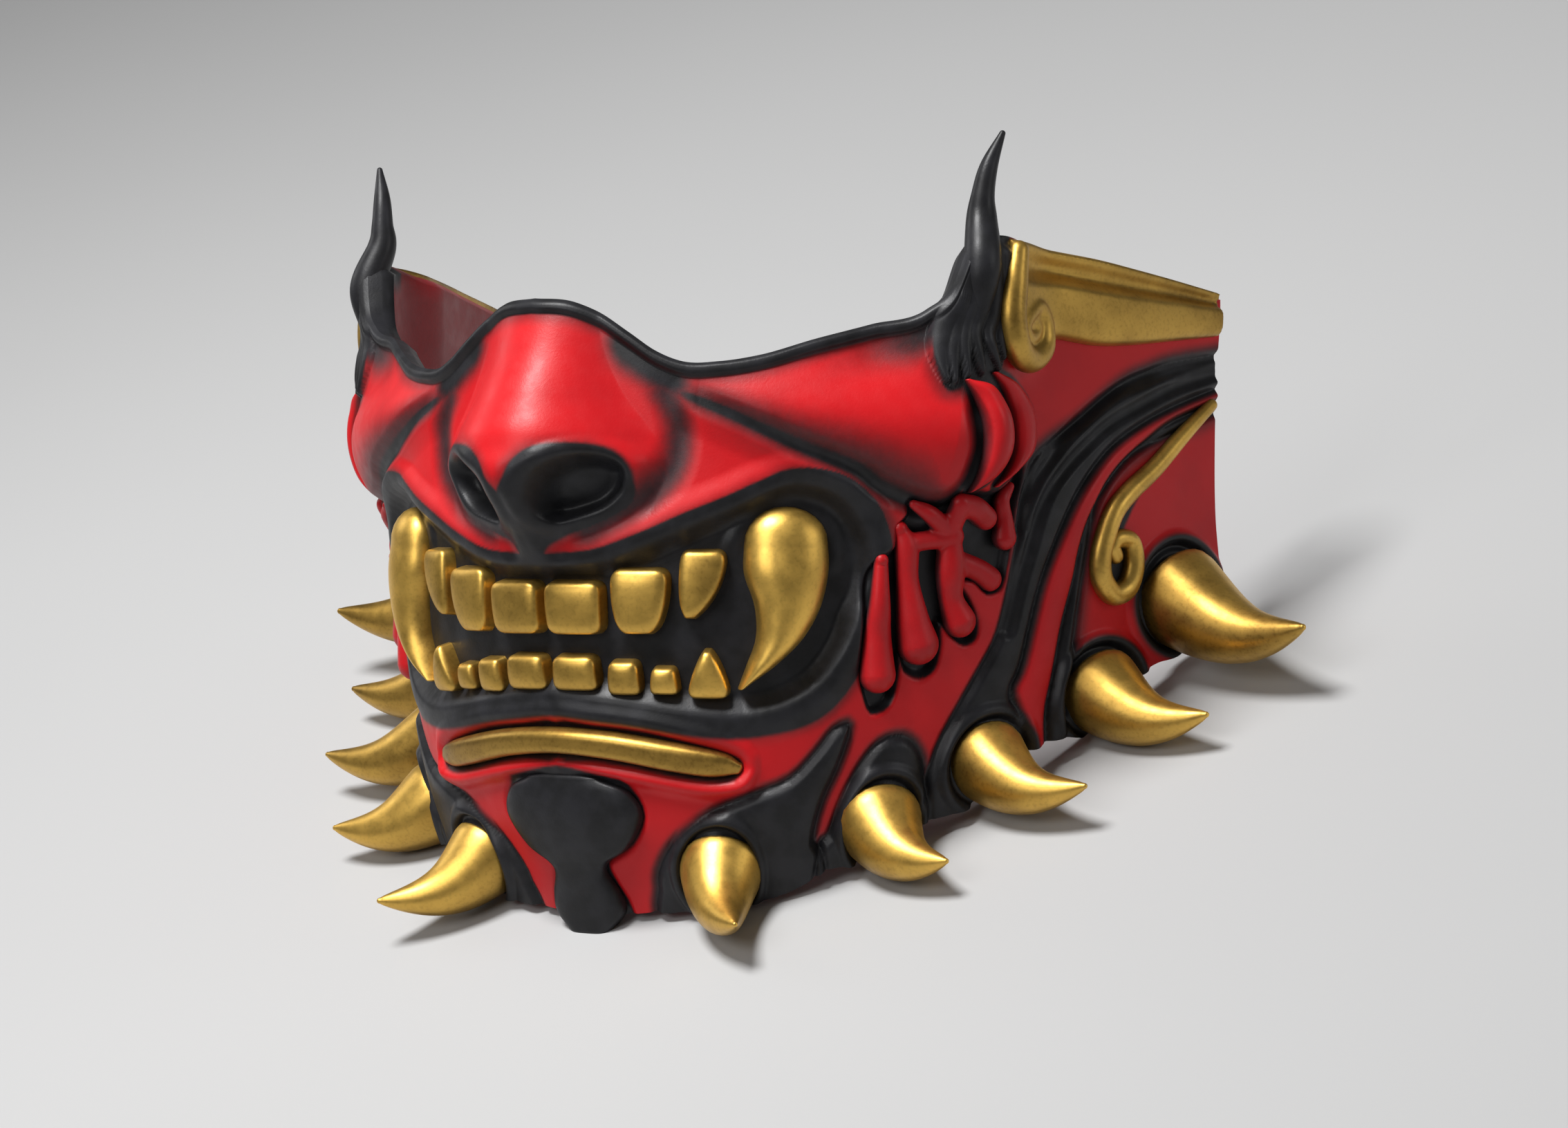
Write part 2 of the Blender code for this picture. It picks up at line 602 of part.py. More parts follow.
class Builder:
    """Makes each piece in the mask's collection, and beside it the slightly larger cutter for its socket."""

    def __init__(self, scene):
        self.mask = new_collection("demon_mask", scene.collection)
        helpers = new_collection("helpers", scene.collection)
        helpers.hide_render = True
        self.sockets = new_collection("sockets", helpers)
        self.limbs = new_collection("limbs", helpers)

    def everything(self):
        return [*self.mask.objects, *self.sockets.objects, *self.limbs.objects]

    def piece(self, name, parts, paint):
        """A piece made of one or more (maker, shape) parts, united into one body."""
        (maker, shape), *others = parts
        made = maker(name, *shape, self.mask)
        for k, (other_maker, other_shape) in enumerate(others):
            limb = other_maker(f"{name}_limb_{k + 1}", *other_shape, self.limbs)
            boolean(made, "UNION", limb)
        for k, (other_maker, other_shape) in enumerate(parts):
            other_maker(f"{name}_socket_{k + 1}", *other_shape, self.sockets, grow=GAP)
        made.data.materials.append(paint)
        return made


def build_pieces(builder, red, black, gold):
    """Every piece that is seated on the shell."""

    def strip(rows, rise, side=1):
        return strip_mesh, (sized(rows, rise), side)

    def tube(rows, radius, side):
        rows = sized(rows, radius)
        return tube_mesh, (lying_path(rows, side), rows[:, 2])

    builder.piece("lip_bar", [strip(LIP_BAR, LIP_BAR_RISE)], gold)
    pad = builder.piece("chin_pad", [strip(CHIN_PAD, CHIN_PAD_RISE)], black)
    for name, side in SIDES.items():
        builder.piece("tusk_" + name, [strip(TUSK, TUSK_RISE, side)], gold)
        for place, rows in CRESCENTS.items():
            builder.piece(f"crescent_{place}_{name}", [strip(rows, CRESCENT_RISE, side)], red)
        for kind, teeth in (("upper", UPPER_TEETH), ("lower", LOWER_TEETH)):
            for k, row in enumerate(teeth):
                builder.piece(f"{kind}_tooth_{name}_{k + 1}", [(tooth_mesh, (row, side))], gold)
        for k, row in enumerate(SPIKES):
            builder.piece(f"jaw_spike_{name}_{k + 1}", [(tube_mesh, spike_path(row, side))], gold)
        builder.piece("horn_" + name, [(tube_mesh, horn_path(side))], black)
        builder.piece("gold_tendril_" + name, [tube(TENDRIL, TENDRIL_RADIUS, side)], gold)
        builder.piece("front_drip_" + name, [tube(DRIP, DRIP_RADIUS, side)], red)
        builder.piece("rear_drip_" + name, [tube(REAR_DRIP, DRIP_RADIUS, side)], red)
        sinews = [tube(rows, SINEW_RADIUS, side) for rows in SINEW_BRANCHES]
        builder.piece("sinew_" + name, sinews, red)
        band = [strip(GOLD_BAND, BAND_RISE, side), tube(VOLUTE, TENDRIL_RADIUS, side)]
        builder.piece("gold_band_" + name, band, gold)
    return pad


def heights(points, lean):
    """Heights of the points once the mask leans back by this angle."""
    return points[:, 2] * math.cos(lean) - points[:, 1] * math.sin(lean)


def depths(points, lean):
    """How far back the points lie once the mask leans back by this angle."""
    return points[:, 1] * math.cos(lean) + points[:, 2] * math.sin(lean)


def resting_lean(pad_points, spike_points):
    """The lean at which the flattened pad and the lowest jaw spikes touch the floor together."""
    least, most = LEAN_RANGE
    for _ in range(40):
        lean = (least + most) / 2
        if heights(pad_points, lean).min() + FLAT_HEIGHT < heights(spike_points, lean).min():
            least = lean
        else:
            most = lean
    return lean


def points_of(objects):
    return np.array([vertex.co for made in objects for vertex in made.data.vertices])


def lean_and_stand(builder, pad):
    """Leans the mask back, stands it on the floor about the origin and flattens the pad where it touches."""
    spikes = points_of(made for made in builder.mask.objects if made.name.startswith("jaw_spike"))
    angle = resting_lean(points_of([pad]), spikes)
    floor = heights(spikes, angle).min()
    reach = depths(points_of(builder.mask.objects), angle)
    middle = (reach.min() + reach.max()) / 2
    lean = Matrix.Rotation(-angle, 4, "X")
    rest = bpy.data.objects.new("rest_pose", None)
    rest.matrix_world = Matrix.Translation((0, -middle, -floor)) @ lean
    for made in builder.everything():
        made.parent = rest
    builder.mask.objects.link(rest)
    upward = lean.inverted().to_3x3().col[2]
    work = bmesh.new()
    work.from_mesh(pad.data)
    cut = bmesh.ops.bisect_plane(
        work, geom=work.verts[:] + work.edges[:] + work.faces[:],
        plane_co=upward * floor, plane_no=upward, clear_inner=True,
    )
    rim = [piece for piece in cut["geom_cut"] if isinstance(piece, bmesh.types.BMEdge)]
    bmesh.ops.contextual_create(work, geom=rim)
    bmesh.ops.recalc_face_normals(work, faces=work.faces)
    work.to_mesh(pad.data)
    work.free()


def main():
    for old in list(bpy.data.objects):
        bpy.data.objects.remove(old)
    red = material("red_lacquer", (0.55, 0.02, 0.03), 0.0, 0.45)
    black = material("black_lacquer", (0.02, 0.02, 0.022), 0.0, 0.5)
    gold = material("gold_paint", (0.8, 0.55, 0.18), 0.9, 0.35)
    builder = Builder(bpy.context.scene)
    shell = shell_mesh("face_shell", builder.mask)
    shell.data.materials.append(red)
    pad = build_pieces(builder, red, black, gold)
    boolean(shell, "DIFFERENCE", builder.sockets)
    for cutter in [*builder.sockets.objects, *builder.limbs.objects]:
        cutter.display_type = "WIRE"
        cutter.hide_render = True
    lean_and_stand(builder, pad)


main()
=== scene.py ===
import math

import bmesh
import bpy
import numpy as np
from mathutils import Matrix, Vector


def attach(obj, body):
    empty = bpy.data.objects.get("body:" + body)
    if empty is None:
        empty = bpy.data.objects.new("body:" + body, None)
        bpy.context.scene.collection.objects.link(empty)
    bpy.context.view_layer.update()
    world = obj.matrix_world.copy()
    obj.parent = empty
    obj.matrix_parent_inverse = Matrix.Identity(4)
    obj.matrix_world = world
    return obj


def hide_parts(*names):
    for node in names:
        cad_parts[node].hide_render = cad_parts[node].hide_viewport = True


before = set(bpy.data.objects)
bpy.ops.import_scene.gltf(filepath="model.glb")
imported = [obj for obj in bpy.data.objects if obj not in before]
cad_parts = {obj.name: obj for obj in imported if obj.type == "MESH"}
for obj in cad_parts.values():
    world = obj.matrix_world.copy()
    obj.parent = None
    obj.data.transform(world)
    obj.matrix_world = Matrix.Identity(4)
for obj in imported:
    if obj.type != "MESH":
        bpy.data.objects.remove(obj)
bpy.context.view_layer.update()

# Overall sizes. Every length in this script is in metres
HALF_WIDTH = 0.104
DEPTH = 0.130
HEIGHT = 0.142
WALL = 0.0050
SEAT = 0.0015

# Large forms of the face
NOSE_REACH = 0.0165
CHEEK_REACH = 0.0098
TEMPLE_REACH = 0.007
GUM_DEPTH = 0.0034
GUM_SLOPE = 0.0040
NOSTRIL_DEPTH = 0.0045
NOSTRIL_SLOPE = 0.0035
WINDOW_DEPTH = 0.0018
WINDOW_SLOPE = 0.0015
EDGE_SOFTNESS = 0.0010
LIP_RISE = 0.0016
LIP_WIDTH = 0.0050
LIP_SETBACK = 0.0030
INNER_SHARE = 0.8
MOUTH_MARGIN = 0.012
EDGE_SETBACK = 0.0028

# Pieces on the face
LIP_BAR_RISE = 0.0036
CHIN_PAD_RISE = 0.0040
TUSK_RISE = 0.0074
BAND_RISE = 0.0034
CRESCENT_RISE = 0.0052
TENDRIL_RADIUS = 0.0027
DRIP_RADIUS = 0.0038
SINEW_RADIUS = 0.0043
SPIKE_RADIUS = 0.0118
SPIKE_REACH = 0.040
SPIKE_DROP = 0.12
HORN_RADIUS = 0.0044
TOOTH_BREADTH = 0.0068
TOOTH_THICK = 0.0046
LIE_SHARE = 0.35
# Shares of those sizes that the rounder pieces of this script take, and how far its coil is lifted
BAR_SHARE = 0.9
BAND_SHARE = 1.1
DRIP_SHARE = 1.1
SINEW_SHARE = 1.12
COIL_SHARE = 1.2
COIL_LIFT = 0.0010
# A tooth's breadth at the gum, and how much narrower it is at its face
TOOTH_FOOT = 1.06
TOOTH_TAPER = 0.05
# Across the gold band, from -1 to 1: the valley's middle and half width, then the swell's and its share
BAND_VALLEY = (0.54, 0.42)
BAND_SWELL = (-0.35, 0.65, 0.10)

# How the mask stands in the frame: it leans back about x, then moves along y and z
LEAN = math.radians(30.2304170)
STAND = (0.0, -0.0947782, 0.0097172)

# Finer relief that only this script draws
RIM_WIDTH = 0.0031
RIM_RISE = 0.0012
CREASE_DEPTH = 0.0011
BULB_DEPTH = 0.0019
COLUMELLA_RISE = 0.0046
NOSTRIL_SINK = 0.0026
RIBBON_RISE = 0.0014
LEAF_RISE = 0.0014
LEAF_ROUNDING = 0.0050
COLLAR_RISE = 0.0012
STRAND_WIDTH = 0.0027
STRAND_RISE = 0.0019
EDGE_BULGE = 0.0006
BEHIND_NOSTRIL = (-0.006, 0.001)

# Black at an outline, which round the crescents is painted shade and elsewhere black paint: how far inside it
# the black starts, and how far inside it is full
NOSE_EDGE = (-0.0020, 0.0002)
NOSE_HAZE = (-0.0050, 0)
WINDOW_EDGE = (-0.0008, 0.0002)
LEAF_EDGE = (-0.0006, 0.0002)
LEAF_HAZE = (-0.0035, 0)
PAD_EDGE = (-0.0015, -0.0002)
BAR_EDGE = (-0.0013, 0)
HAIR_EDGE = (-0.0012, 0.0002)
HAIR_HAZE = (-0.0060, 0)
CURL_EDGE = (-0.0010, 0.0010)
CRESCENT_EDGE = (-0.0022, -0.0004)
COLLAR_EDGE = (0.0042, 0.0018)
# The rim's black: where along it ends, outside and inside, and how far the painted shade under it reaches
# down
RIM_END = (0.585, 0.565)
LINING_RIM_END = (0.60, 0.57)
RIM_SHADE_REACH = 0.0050
# Painted shade in the corners under the rim: the most, then how far down it starts and is full, and then the
# places along where it starts, is full, fades and ends
CHEEK_CORNER = (0.90, (0.0160, 0.0050), (0.300, 0.500, 0.520, 0.600))
NOSE_CORNER = (0.95, (0.0150, 0.0045), (0.068, 0.120, 0.180, 0.240))
# Painted shade over the inner surface and the rear edges, as how black they are painted
LINING_SHADE = 0.52
# Painted shade on the pieces: where a skin starts to count as turned away or sunk and where it fully does,
# how dark a hollow gets, the share of DEPTH that skins face away from, and the most and the least shade of
# edges
TURNED_AWAY = (0.72, -0.10)
HOLLOW = (0.00004, 0.00040)
HOLLOW_SHADE = 0.9
FACE_HEART = 0.75
MOST_SHADES = {"red_lacquer": 0.75, "black_lacquer": 1.0, "gold_paint": 0.55}
# The least black on each kind of piece is partly painted shade and, on the lip bar and gold bands, partly
# their own duller, browner gold
LEAST_SHADES = {
    "lip_bar": 0.62, "crescent": 0.15, "upper_tooth": 0.25, "lower_tooth": 0.12, "gold_tendril": 0.20,
    "front_drip": 0.26, "rear_drip": 0.30, "sinew": 0.30, "gold_band": 0.42,
}

# How finely the meshes are drawn
MOUTH_CORNERS = 58
CELLS_AROUND = 440
CELLS_HIGH = 222
INNER_HIGH = 24
SPIKE_STATIONS = 44
VOXEL = 0.0004
FLAT_FOOT = 0.05
RING_START = (0.3, 0.2, 0.9)
TINY = 1e-9

RED = (0.60, 0.010, 0.014)
DEEP_RED = (0.33, 0.006, 0.010)
BLACK = (0.011, 0.011, 0.012)
SOFT_BLACK = (0.020, 0.020, 0.023)
GOLD = (0.82, 0.51, 0.110)
BROWN_GOLD = (0.22, 0.125, 0.026)
FLOOR_GREY = (0.43, 0.43, 0.43)
FLOOR_PALE = (0.46, 0.46, 0.46)
LACQUER_SHEEN = 0.26

# The photograph's view, in the face's own frame: the point looked at, the bearing and the distance
LOOK_AT = Vector((0.0, 0.100, 0.082))
BEARING = math.radians(33.0)
RISE = math.radians(0.71)
DISTANCE = 0.980
LENS = 92.52
SENSOR = 36.0
CLIP = (0.01, 50.0)

# Soft lights round the mask. Columns: bearing and rise in degrees, distance, size, power in watts
LIGHTS = {
    "key": (-10.0, 53.0, 1.0, 0.38, 14.0),
    "side": (95.0, 20.0, 1.1, 0.50, 1.2),
    "far_side": (-80.0, 25.0, 1.1, 0.50, 1.2),
    "front": (-4.0, 15.0, 1.1, 0.50, 2.5),
}
ROOM_GREY = (0.5, 0.5, 0.5, 1)
ROOM_LIGHT = 0.22
FLOOR_REACH = 4.0

SIDES = {"left": 1, "right": -1}


def table(*rows):
    """An array of these rows, which are written in thousandths."""
    return np.array(rows) / 1000


# A place on the shell is given by along, from 0 at the middle to 1 at the rear edge, and by level, its height
# above the chin as a share of HEIGHT

# Plan sections from the chin up.
# Columns: level, front y, then x and y of four stations out to the rear edge,
# each x as a share of HALF_WIDTH and each y as a share of DEPTH
SECTIONS = table(
    (0, 169, 327, 246, 538, 385, 750, 646, 923, 1038), (183, 85, 377, 169, 605, 338, 808, 631, 960, 1023),
    (317, 50, 403, 138, 642, 331, 837, 631, 985, 1006), (415, 23, 413, 115, 662, 331, 856, 631, 1005, 988),
    (542, 0, 418, 100, 696, 331, 875, 631, 1012, 970), (662, -8, 423, 96, 721, 331, 894, 631, 1005, 958),
    (775, 0, 413, 92, 731, 331, 894, 631, 1005, 955), (894, 0, 404, 92, 731, 338, 885, 631, 1000, 970),
    (1000, 8, 404, 100, 731, 338, 885, 631, 1000, 984), (1127, 31, 404, 108, 731, 338, 885, 631, 990, 988),
)

# Outline of the shell. Columns: along, level
TOP_EDGE = table(
    (0, 1000), (56, 993), (89, 975), (128, 944), (163, 915), (196, 899), (242, 899), (292, 909),
    (355, 934), (419, 957), (480, 980), (511, 1019), (530, 1080), (560, 1094), (656, 1080), (745, 1068),
    (886, 1042), (1000, 1017),
)
BOTTOM_EDGE = table(
    (0, 20), (70, 27), (140, 37), (200, 46), (277, 58), (318, 68), (362, 85), (402, 106), (463, 119),
    (555, 175), (628, 204), (699, 285), (757, 305), (794, 306), (869, 406), (930, 438), (1000, 500),
)

# The nose. Columns: level, reach as a share of NOSE_REACH, half breadth as a share of HALF_WIDTH
NOSE = table(
    (563, 0, 100), (606, 30, 190), (648, 240, 240), (697, 640, 270), (746, 970, 290), (782, 970, 270),
    (845, 700, 210), (915, 390, 165), (1000, 150, 145), (1056, 0, 135),
)

# The cheek bulb. Columns: along, level, radius as a share of HEIGHT, reach as a share of CHEEK_REACH
CHEEK = table((213, 831, 53, 100), (511, 789, 180, 1000))

# The temple's swelling: along at its middle, half breadth, level where it starts, level where it is full
TEMPLE = (0.55, 0.146, 0.83, 0.94)

# Outlines drawn on the shell. Columns: along, level
MOUTH = table(
    (0, 580), (79, 587), (138, 613), (196, 646), (248, 672), (292, 696), (325, 708), (369, 695),
    (403, 663), (423, 618), (430, 571), (426, 532), (415, 501), (402, 451), (369, 400), (316, 366),
    (255, 352), (182, 357), (99, 372), (0, 385),
)
WINDOW = table(
    (470, 683), (470, 664), (460, 642), (458, 611), (434, 593), (424, 566), (424, 508), (432, 421),
    (440, 387), (457, 352), (484, 364), (492, 406), (490, 442), (501, 417), (526, 406), (545, 420),
    (548, 458), (543, 489), (561, 472), (583, 457), (599, 466), (598, 495), (579, 530), (561, 555),
    (583, 557), (607, 537), (626, 544), (631, 562), (633, 599), (632, 662), (642, 711), (643, 742),
    (618, 712), (591, 698), (547, 699), (514, 682), (488, 682),
)
NOSTRIL = table(
    (33, 705), (49, 730), (72, 748), (93, 755), (114, 753), (129, 741), (131, 721), (122, 697), (104, 676),
    (81, 663), (48, 653), (30, 660), (26, 680),
)

# Strips laid on the shell. Columns: along and level of one edge, along and level of the other,
# rise as a share of the piece's own rise
LIP_BAR = table(
    (-249, 276, -243, 258, 330), (-225, 292, -206, 254, 720), (-160, 308, -156, 262, 940),
    (-80, 323, -80, 279, 1000), (0, 328, 0, 287, 1000), (80, 323, 80, 279, 1000),
    (160, 308, 156, 262, 940), (225, 292, 206, 254, 720), (249, 276, 243, 258, 330),
)
CHIN_PAD = table(
    (-60, 247, 60, 247, 400), (-97, 228, 97, 228, 550), (-113, 188, 113, 188, 650),
    (-88, 139, 88, 139, 650), (-54, 114, 54, 114, 600), (-46, 96, 46, 96, 600), (-60, 64, 60, 64, 700),
    (-64, 34, 64, 34, 850), (-40, 6, 40, 6, 1000),
)
TUSK = table(
    (298, 656, 346, 658, 300), (261, 614, 374, 616, 860), (262, 570, 378, 572, 1000),
    (277, 518, 370, 518, 1000), (278, 468, 348, 470, 920), (263, 425, 311, 430, 780),
    (250, 392, 264, 394, 540),
)
GOLD_BAND = table(
    (602, 925, 594, 1094, 650), (648, 926, 640, 1090, 800), (695, 940, 690, 1082, 1000),
    (772, 932, 772, 1072, 940), (838, 935, 838, 1060, 880), (909, 944, 909, 1046, 760),
    (992, 955, 992, 1028, 650),
)
CRESCENTS = {
    "front": table(
        (520, 866, 527, 870, 270), (535, 838, 562, 860, 770), (546, 800, 588, 822, 1000),
        (549, 765, 597, 770, 1000), (547, 725, 582, 732, 770), (542, 700, 550, 704, 270),
    ),
    "rear": table(
        (562, 879, 572, 883, 270), (590, 852, 620, 866, 650), (608, 812, 652, 830, 810),
        (612, 766, 655, 770, 810), (598, 728, 628, 738, 650), (584, 709, 594, 708, 270),
    ),
}

# Round pieces that lie on the shell. Columns: along, level, radius as a share of the piece's own radius,
# which for the volute is the tendril's and for the rear drip the front drip's
TENDRIL = table(
    (988, 842, 550), (925, 785, 740), (874, 737, 840), (824, 697, 900), (795, 662, 930), (780, 610, 960),
    (783, 565, 1000), (804, 536, 1000), (828, 545, 1000), (838, 582, 960), (831, 618, 860),
    (809, 624, 800),
)
VOLUTE = table(
    (602, 1074, 740), (592, 1020, 960), (588, 965, 1000), (600, 922, 1000), (632, 906, 1000),
    (660, 926, 960), (664, 962, 810), (648, 988, 700), (625, 976, 630),
)
DRIP = table((441, 592, 370), (446, 524, 580), (454, 455, 840), (460, 412, 1000))
SINEW_BRANCHES = [
    table((464, 640, 370), (476, 611, 580), (484, 559, 560), (499, 500, 790), (513, 460, 1000)),
    table((476, 617, 470), (508, 622, 470), (539, 628, 600)),
    table((474, 679, 230), (498, 664, 420), (536, 632, 510)),
    table(
        (539, 680, 510), (536, 640, 510), (541, 600, 650), (546, 566, 700), (553, 530, 600),
        (570, 495, 810),
    ),
    table((537, 682, 470), (563, 672, 600), (586, 657, 600)),
    table((546, 592, 510), (587, 574, 560), (608, 560, 600)),
]
REAR_DRIP = table((626, 706, 260), (612, 684, 470), (618, 655, 530), (622, 625, 680))
# Inner ends of the two gold curls
VOLUTE_HEART = table((611, 956, 620), (621, 940, 600), (638, 943, 580), (645, 957, 560), (637, 966, 520))
CURL_END = table((799, 612, 740), (806, 596, 700))

# Jaw spikes. Columns: along, level, base radius as a share of SPIKE_RADIUS,
# reach out, reach along and fall of the tip as shares of SPIKE_REACH
SPIKES = table(
    (217, 104, 810, 650, 170, -30), (493, 178, 840, 640, 150, 0), (644, 272, 810, 740, 160, 0),
    (804, 378, 860, 770, 100, 0), (925, 528, 1000, 1000, -30, 100),
)

# Foot of the horn. Columns: along, level, lift off the shell and radius as shares of HORN_RADIUS
HORN_FOOT = table((545, 985, -180, 680), (547, 1050, 90, 950))
# Free part of the horn. Columns: x as a share of HALF_WIDTH, y of DEPTH, z of HEIGHT, radius of HORN_RADIUS
HORN_TIP = table(
    (813, 385, 1120, 800), (814, 388, 1160, 600), (823, 396, 1205, 460), (845, 411, 1256, 160),
)

# Teeth. Columns: along, level, half breadth at the root and at the end and shift of the end as shares of
# TOOTH_BREADTH, length as a share of HEIGHT, thickness as a share of TOOTH_THICK
UPPER_TEETH = table(
    (45, 515, 1040, 980, 0, 84, 1000), (131, 526, 980, 600, -100, 102, 960),
    (210, 553, 760, 220, -440, 106, 910),
)
LOWER_TEETH = table(
    (38, 412, 840, 760, 0, -56, 960), (103, 405, 580, 500, 0, -54, 910), (153, 401, 490, 380, 0, -43, 870),
    (210, 412, 690, 150, 0, -76, 960),
)

# Lines drawn on the shell. Columns: along, level
WING_CREASE = table(
    (118, 915), (142, 888), (168, 855), (182, 827), (188, 795), (184, 756), (172, 724), (146, 692),
    (111, 664), (66, 632), (30, 606),
)
CHEEK_CREASE = table(
    (120, 894), (165, 868), (206, 844), (247, 822), (290, 795), (335, 767), (398, 732), (425, 708),
    (460, 688), (492, 678), (517, 685), (535, 710), (541, 740), (544, 768), (541, 800), (535, 834),
    (523, 862),
)
MOUTH_RIDGE = table(
    (238, 590), (255, 637), (291, 666), (324, 679), (356, 665), (376, 637), (385, 600), (384, 560),
)
BAR_RIDGE = table((-80, 262), (0, 270), (80, 263), (140, 252), (205, 240), (262, 247), (290, 262))
RIBBON_TOP = table(
    (1010, 927), (919, 909), (872, 892), (835, 876), (798, 850), (761, 821), (726, 796), (690, 773),
    (658, 740), (646, 680), (643, 600), (640, 530), (633, 470), (618, 426), (594, 366), (568, 296),
    (557, 214), (556, 120),
)
STRAND_LEFT = table(
    (1010, 873), (921, 839), (856, 808), (801, 773), (760, 730), (730, 683), (707, 626), (690, 556),
    (681, 487), (674, 420), (664, 384), (676, 352), (692, 322), (700, 270),
)
STRAND_RIGHT = table(
    (1010, 850), (919, 814), (867, 781), (820, 744), (784, 701), (758, 655), (747, 608), (743, 556),
    (732, 486), (726, 400), (722, 347), (730, 290),
)
RIBBON_LOW = table(
    (1010, 835), (920, 798), (839, 760), (786, 710), (764, 650), (757, 567), (752, 457), (752, 400),
    (752, 340), (762, 280),
)
RIBBON_EDGES = (RIBBON_TOP, STRAND_LEFT, STRAND_RIGHT, RIBBON_LOW)
RIBBON_GROOVES = [
    table(
        (1010, 917), (925, 897), (874, 884), (810, 858), (756, 821), (715, 785), (687, 750), (665, 719),
        (651, 683), (647, 642),
    ),
    table(
        (1010, 898), (924, 872), (859, 841), (795, 808), (745, 768), (710, 733), (684, 697), (668, 655),
        (659, 599), (652, 546), (646, 480),
    ),
]
HAIR_STRANDS = [
    table((530, 1020), (520, 997), (501, 960), (491, 921), (494, 883), (500, 862)),
    table((543, 1085), (532, 1050), (520, 997), (510, 952), (504, 915), (508, 858)),
    table((552, 1105), (545, 1066), (535, 1012), (526, 968), (517, 930), (524, 868)),
    table((558, 1105), (554, 1073), (550, 1021), (541, 975), (532, 938), (545, 874)),
    table((566, 1105), (564, 1066), (566, 1021), (562, 977), (553, 938), (574, 882)),
    table((579, 1105), (580, 1060), (580, 1015), (577, 970), (573, 935), (582, 900)),
]

# Areas drawn on the shell. Columns: along, level
HAIR_AREA = table(
    (505, 1200), (500, 1000), (488, 960), (485, 937), (486, 898), (498, 858), (508, 854), (524, 864),
    (545, 870), (577, 879), (584, 946), (586, 1022), (590, 1200),
)
NOSE_BLACK = table(
    (-20, 560), (10, 566), (12, 590), (22, 616), (50, 634), (78, 645), (110, 664), (131, 686), (135, 713),
    (134, 737), (123, 757), (102, 767), (72, 768), (46, 761), (26, 740), (14, 712), (-4, 684), (-20, 670),
)
LEAF_FRONT = table(
    (425, 331), (399, 327), (370, 290), (329, 249), (268, 224), (211, 198), (160, 155), (130, 112),
    (119, 69), (134, 0), (400, -50), (400, 120), (379, 151), (390, 213), (411, 268),
)
LEAF_REAR = table(
    (559, 233), (539, 291), (510, 315), (476, 305), (450, 270), (428, 220), (408, 160), (390, 132),
    (390, -50), (600, -50), (575, 120),
)
PAD_AREA = table(
    (-70, 249), (66, 249), (98, 226), (110, 188), (90, 144), (54, 120), (45, 103), (53, 74), (67, 34),
    (60, -10), (-60, -10),
)
BAR_AREA = table(
    (0, 332), (57, 328), (119, 320), (178, 304), (229, 288), (250, 274), (240, 254), (206, 250),
    (156, 258), (103, 271), (53, 279), (0, 283),
)
CURL_AREA = table(
    (871, 731), (822, 692), (795, 660), (780, 610), (783, 565), (806, 536), (835, 545), (850, 580),
    (842, 612), (822, 640),
)


def smooth_rows(x, rows):
    """Each further column of the rows at x, along a curve through them without overshooting corners."""
    keys = rows[:, 0]
    x = np.clip(x, keys[0], keys[-1])
    slopes = np.gradient(rows[:, 1:], keys, axis=0)
    i = np.clip(np.searchsorted(keys, x) - 1, 0, len(keys) - 2)
    span = keys[i + 1] - keys[i]
    t = ((x - keys[i]) / span)[..., None]
    span = span[..., None]
    a, b = rows[i, 1:], rows[i + 1, 1:]
    ends = a * (2 * t**3 - 3 * t**2 + 1) + b * (3 * t**2 - 2 * t**3)
    return ends + span * (slopes[i] * (t**3 - 2 * t**2 + t) + slopes[i + 1] * (t**3 - t**2))


def sized(rows, size, columns=1):
    """The rows with their last columns, which are shares, times the size that they follow."""
    rows = rows.copy()
    rows[:, -columns:] *= size
    return rows


def ease(low, high, x):
    """0 below low, 1 above high and smooth between."""
    t = np.clip((x - low) / (high - low), 0, 1)
    return t * t * (3 - 2 * t)


def spell(x, start, full, fade, end):
    """1 from full to fade, and smoothly down to 0 at start and at end."""
    return ease(start, full, x) * ease(end, fade, x)


def mound(distance):
    """1 at 0, smoothly down to 0 at 1 and beyond."""
    return (1 - np.clip(np.abs(distance), 0, 1) ** 2) ** 2


def base(along, level):
    """Points of the plain shell, as if it had no features."""
    along, level = np.broadcast_arrays(np.asarray(along, float), np.asarray(level, float))
    row = smooth_rows(level, SECTIONS)
    flat = np.zeros(along.shape)
    stations = [np.stack([flat, row[..., 0] * DEPTH], -1)]
    for k in range(4):
        stations.append(np.stack([row[..., 1 + 2 * k] * HALF_WIDTH, row[..., 2 + 2 * k] * DEPTH], -1))
    stations.insert(0, stations[1] * [-1, 1])
    stations.append(2 * stations[-1] - stations[-2])
    stations = np.stack(stations, -2)
    t = np.abs(along) * 4
    i = np.clip(np.floor(t).astype(int), 0, 3)
    t = (t - i)[..., None]
    p0, p1, p2, p3 = (
        np.take_along_axis(stations, (i + k)[..., None, None], axis=-2)[..., 0, :] for k in range(4)
    )
    plan = p1 + 0.5 * (
        (p2 - p0) * t + (2 * p0 - 5 * p1 + 4 * p2 - p3) * t**2 + (3 * p1 - p0 - 3 * p2 + p3) * t**3
    )
    x = plan[..., 0] * np.where(along < 0, -1, 1)
    return np.stack([x, plan[..., 1], level * HEIGHT], -1)


def girth(level=0.75, stations=33):
    """Length round the plain shell from the middle to the rear edge, at one level."""
    points = base(np.linspace(0, 1, stations), np.full(stations, level))
    return np.linalg.norm(np.diff(points, axis=0), axis=1).sum()


GIRTH = girth()


def on_sheet(places):
    """Places in metres on the shell as if it were unrolled."""
    return np.asarray(places, float) * [GIRTH, HEIGHT]


def sheet_points(along, level):
    return on_sheet(np.stack(np.broadcast_arrays(np.abs(along), level), -1))


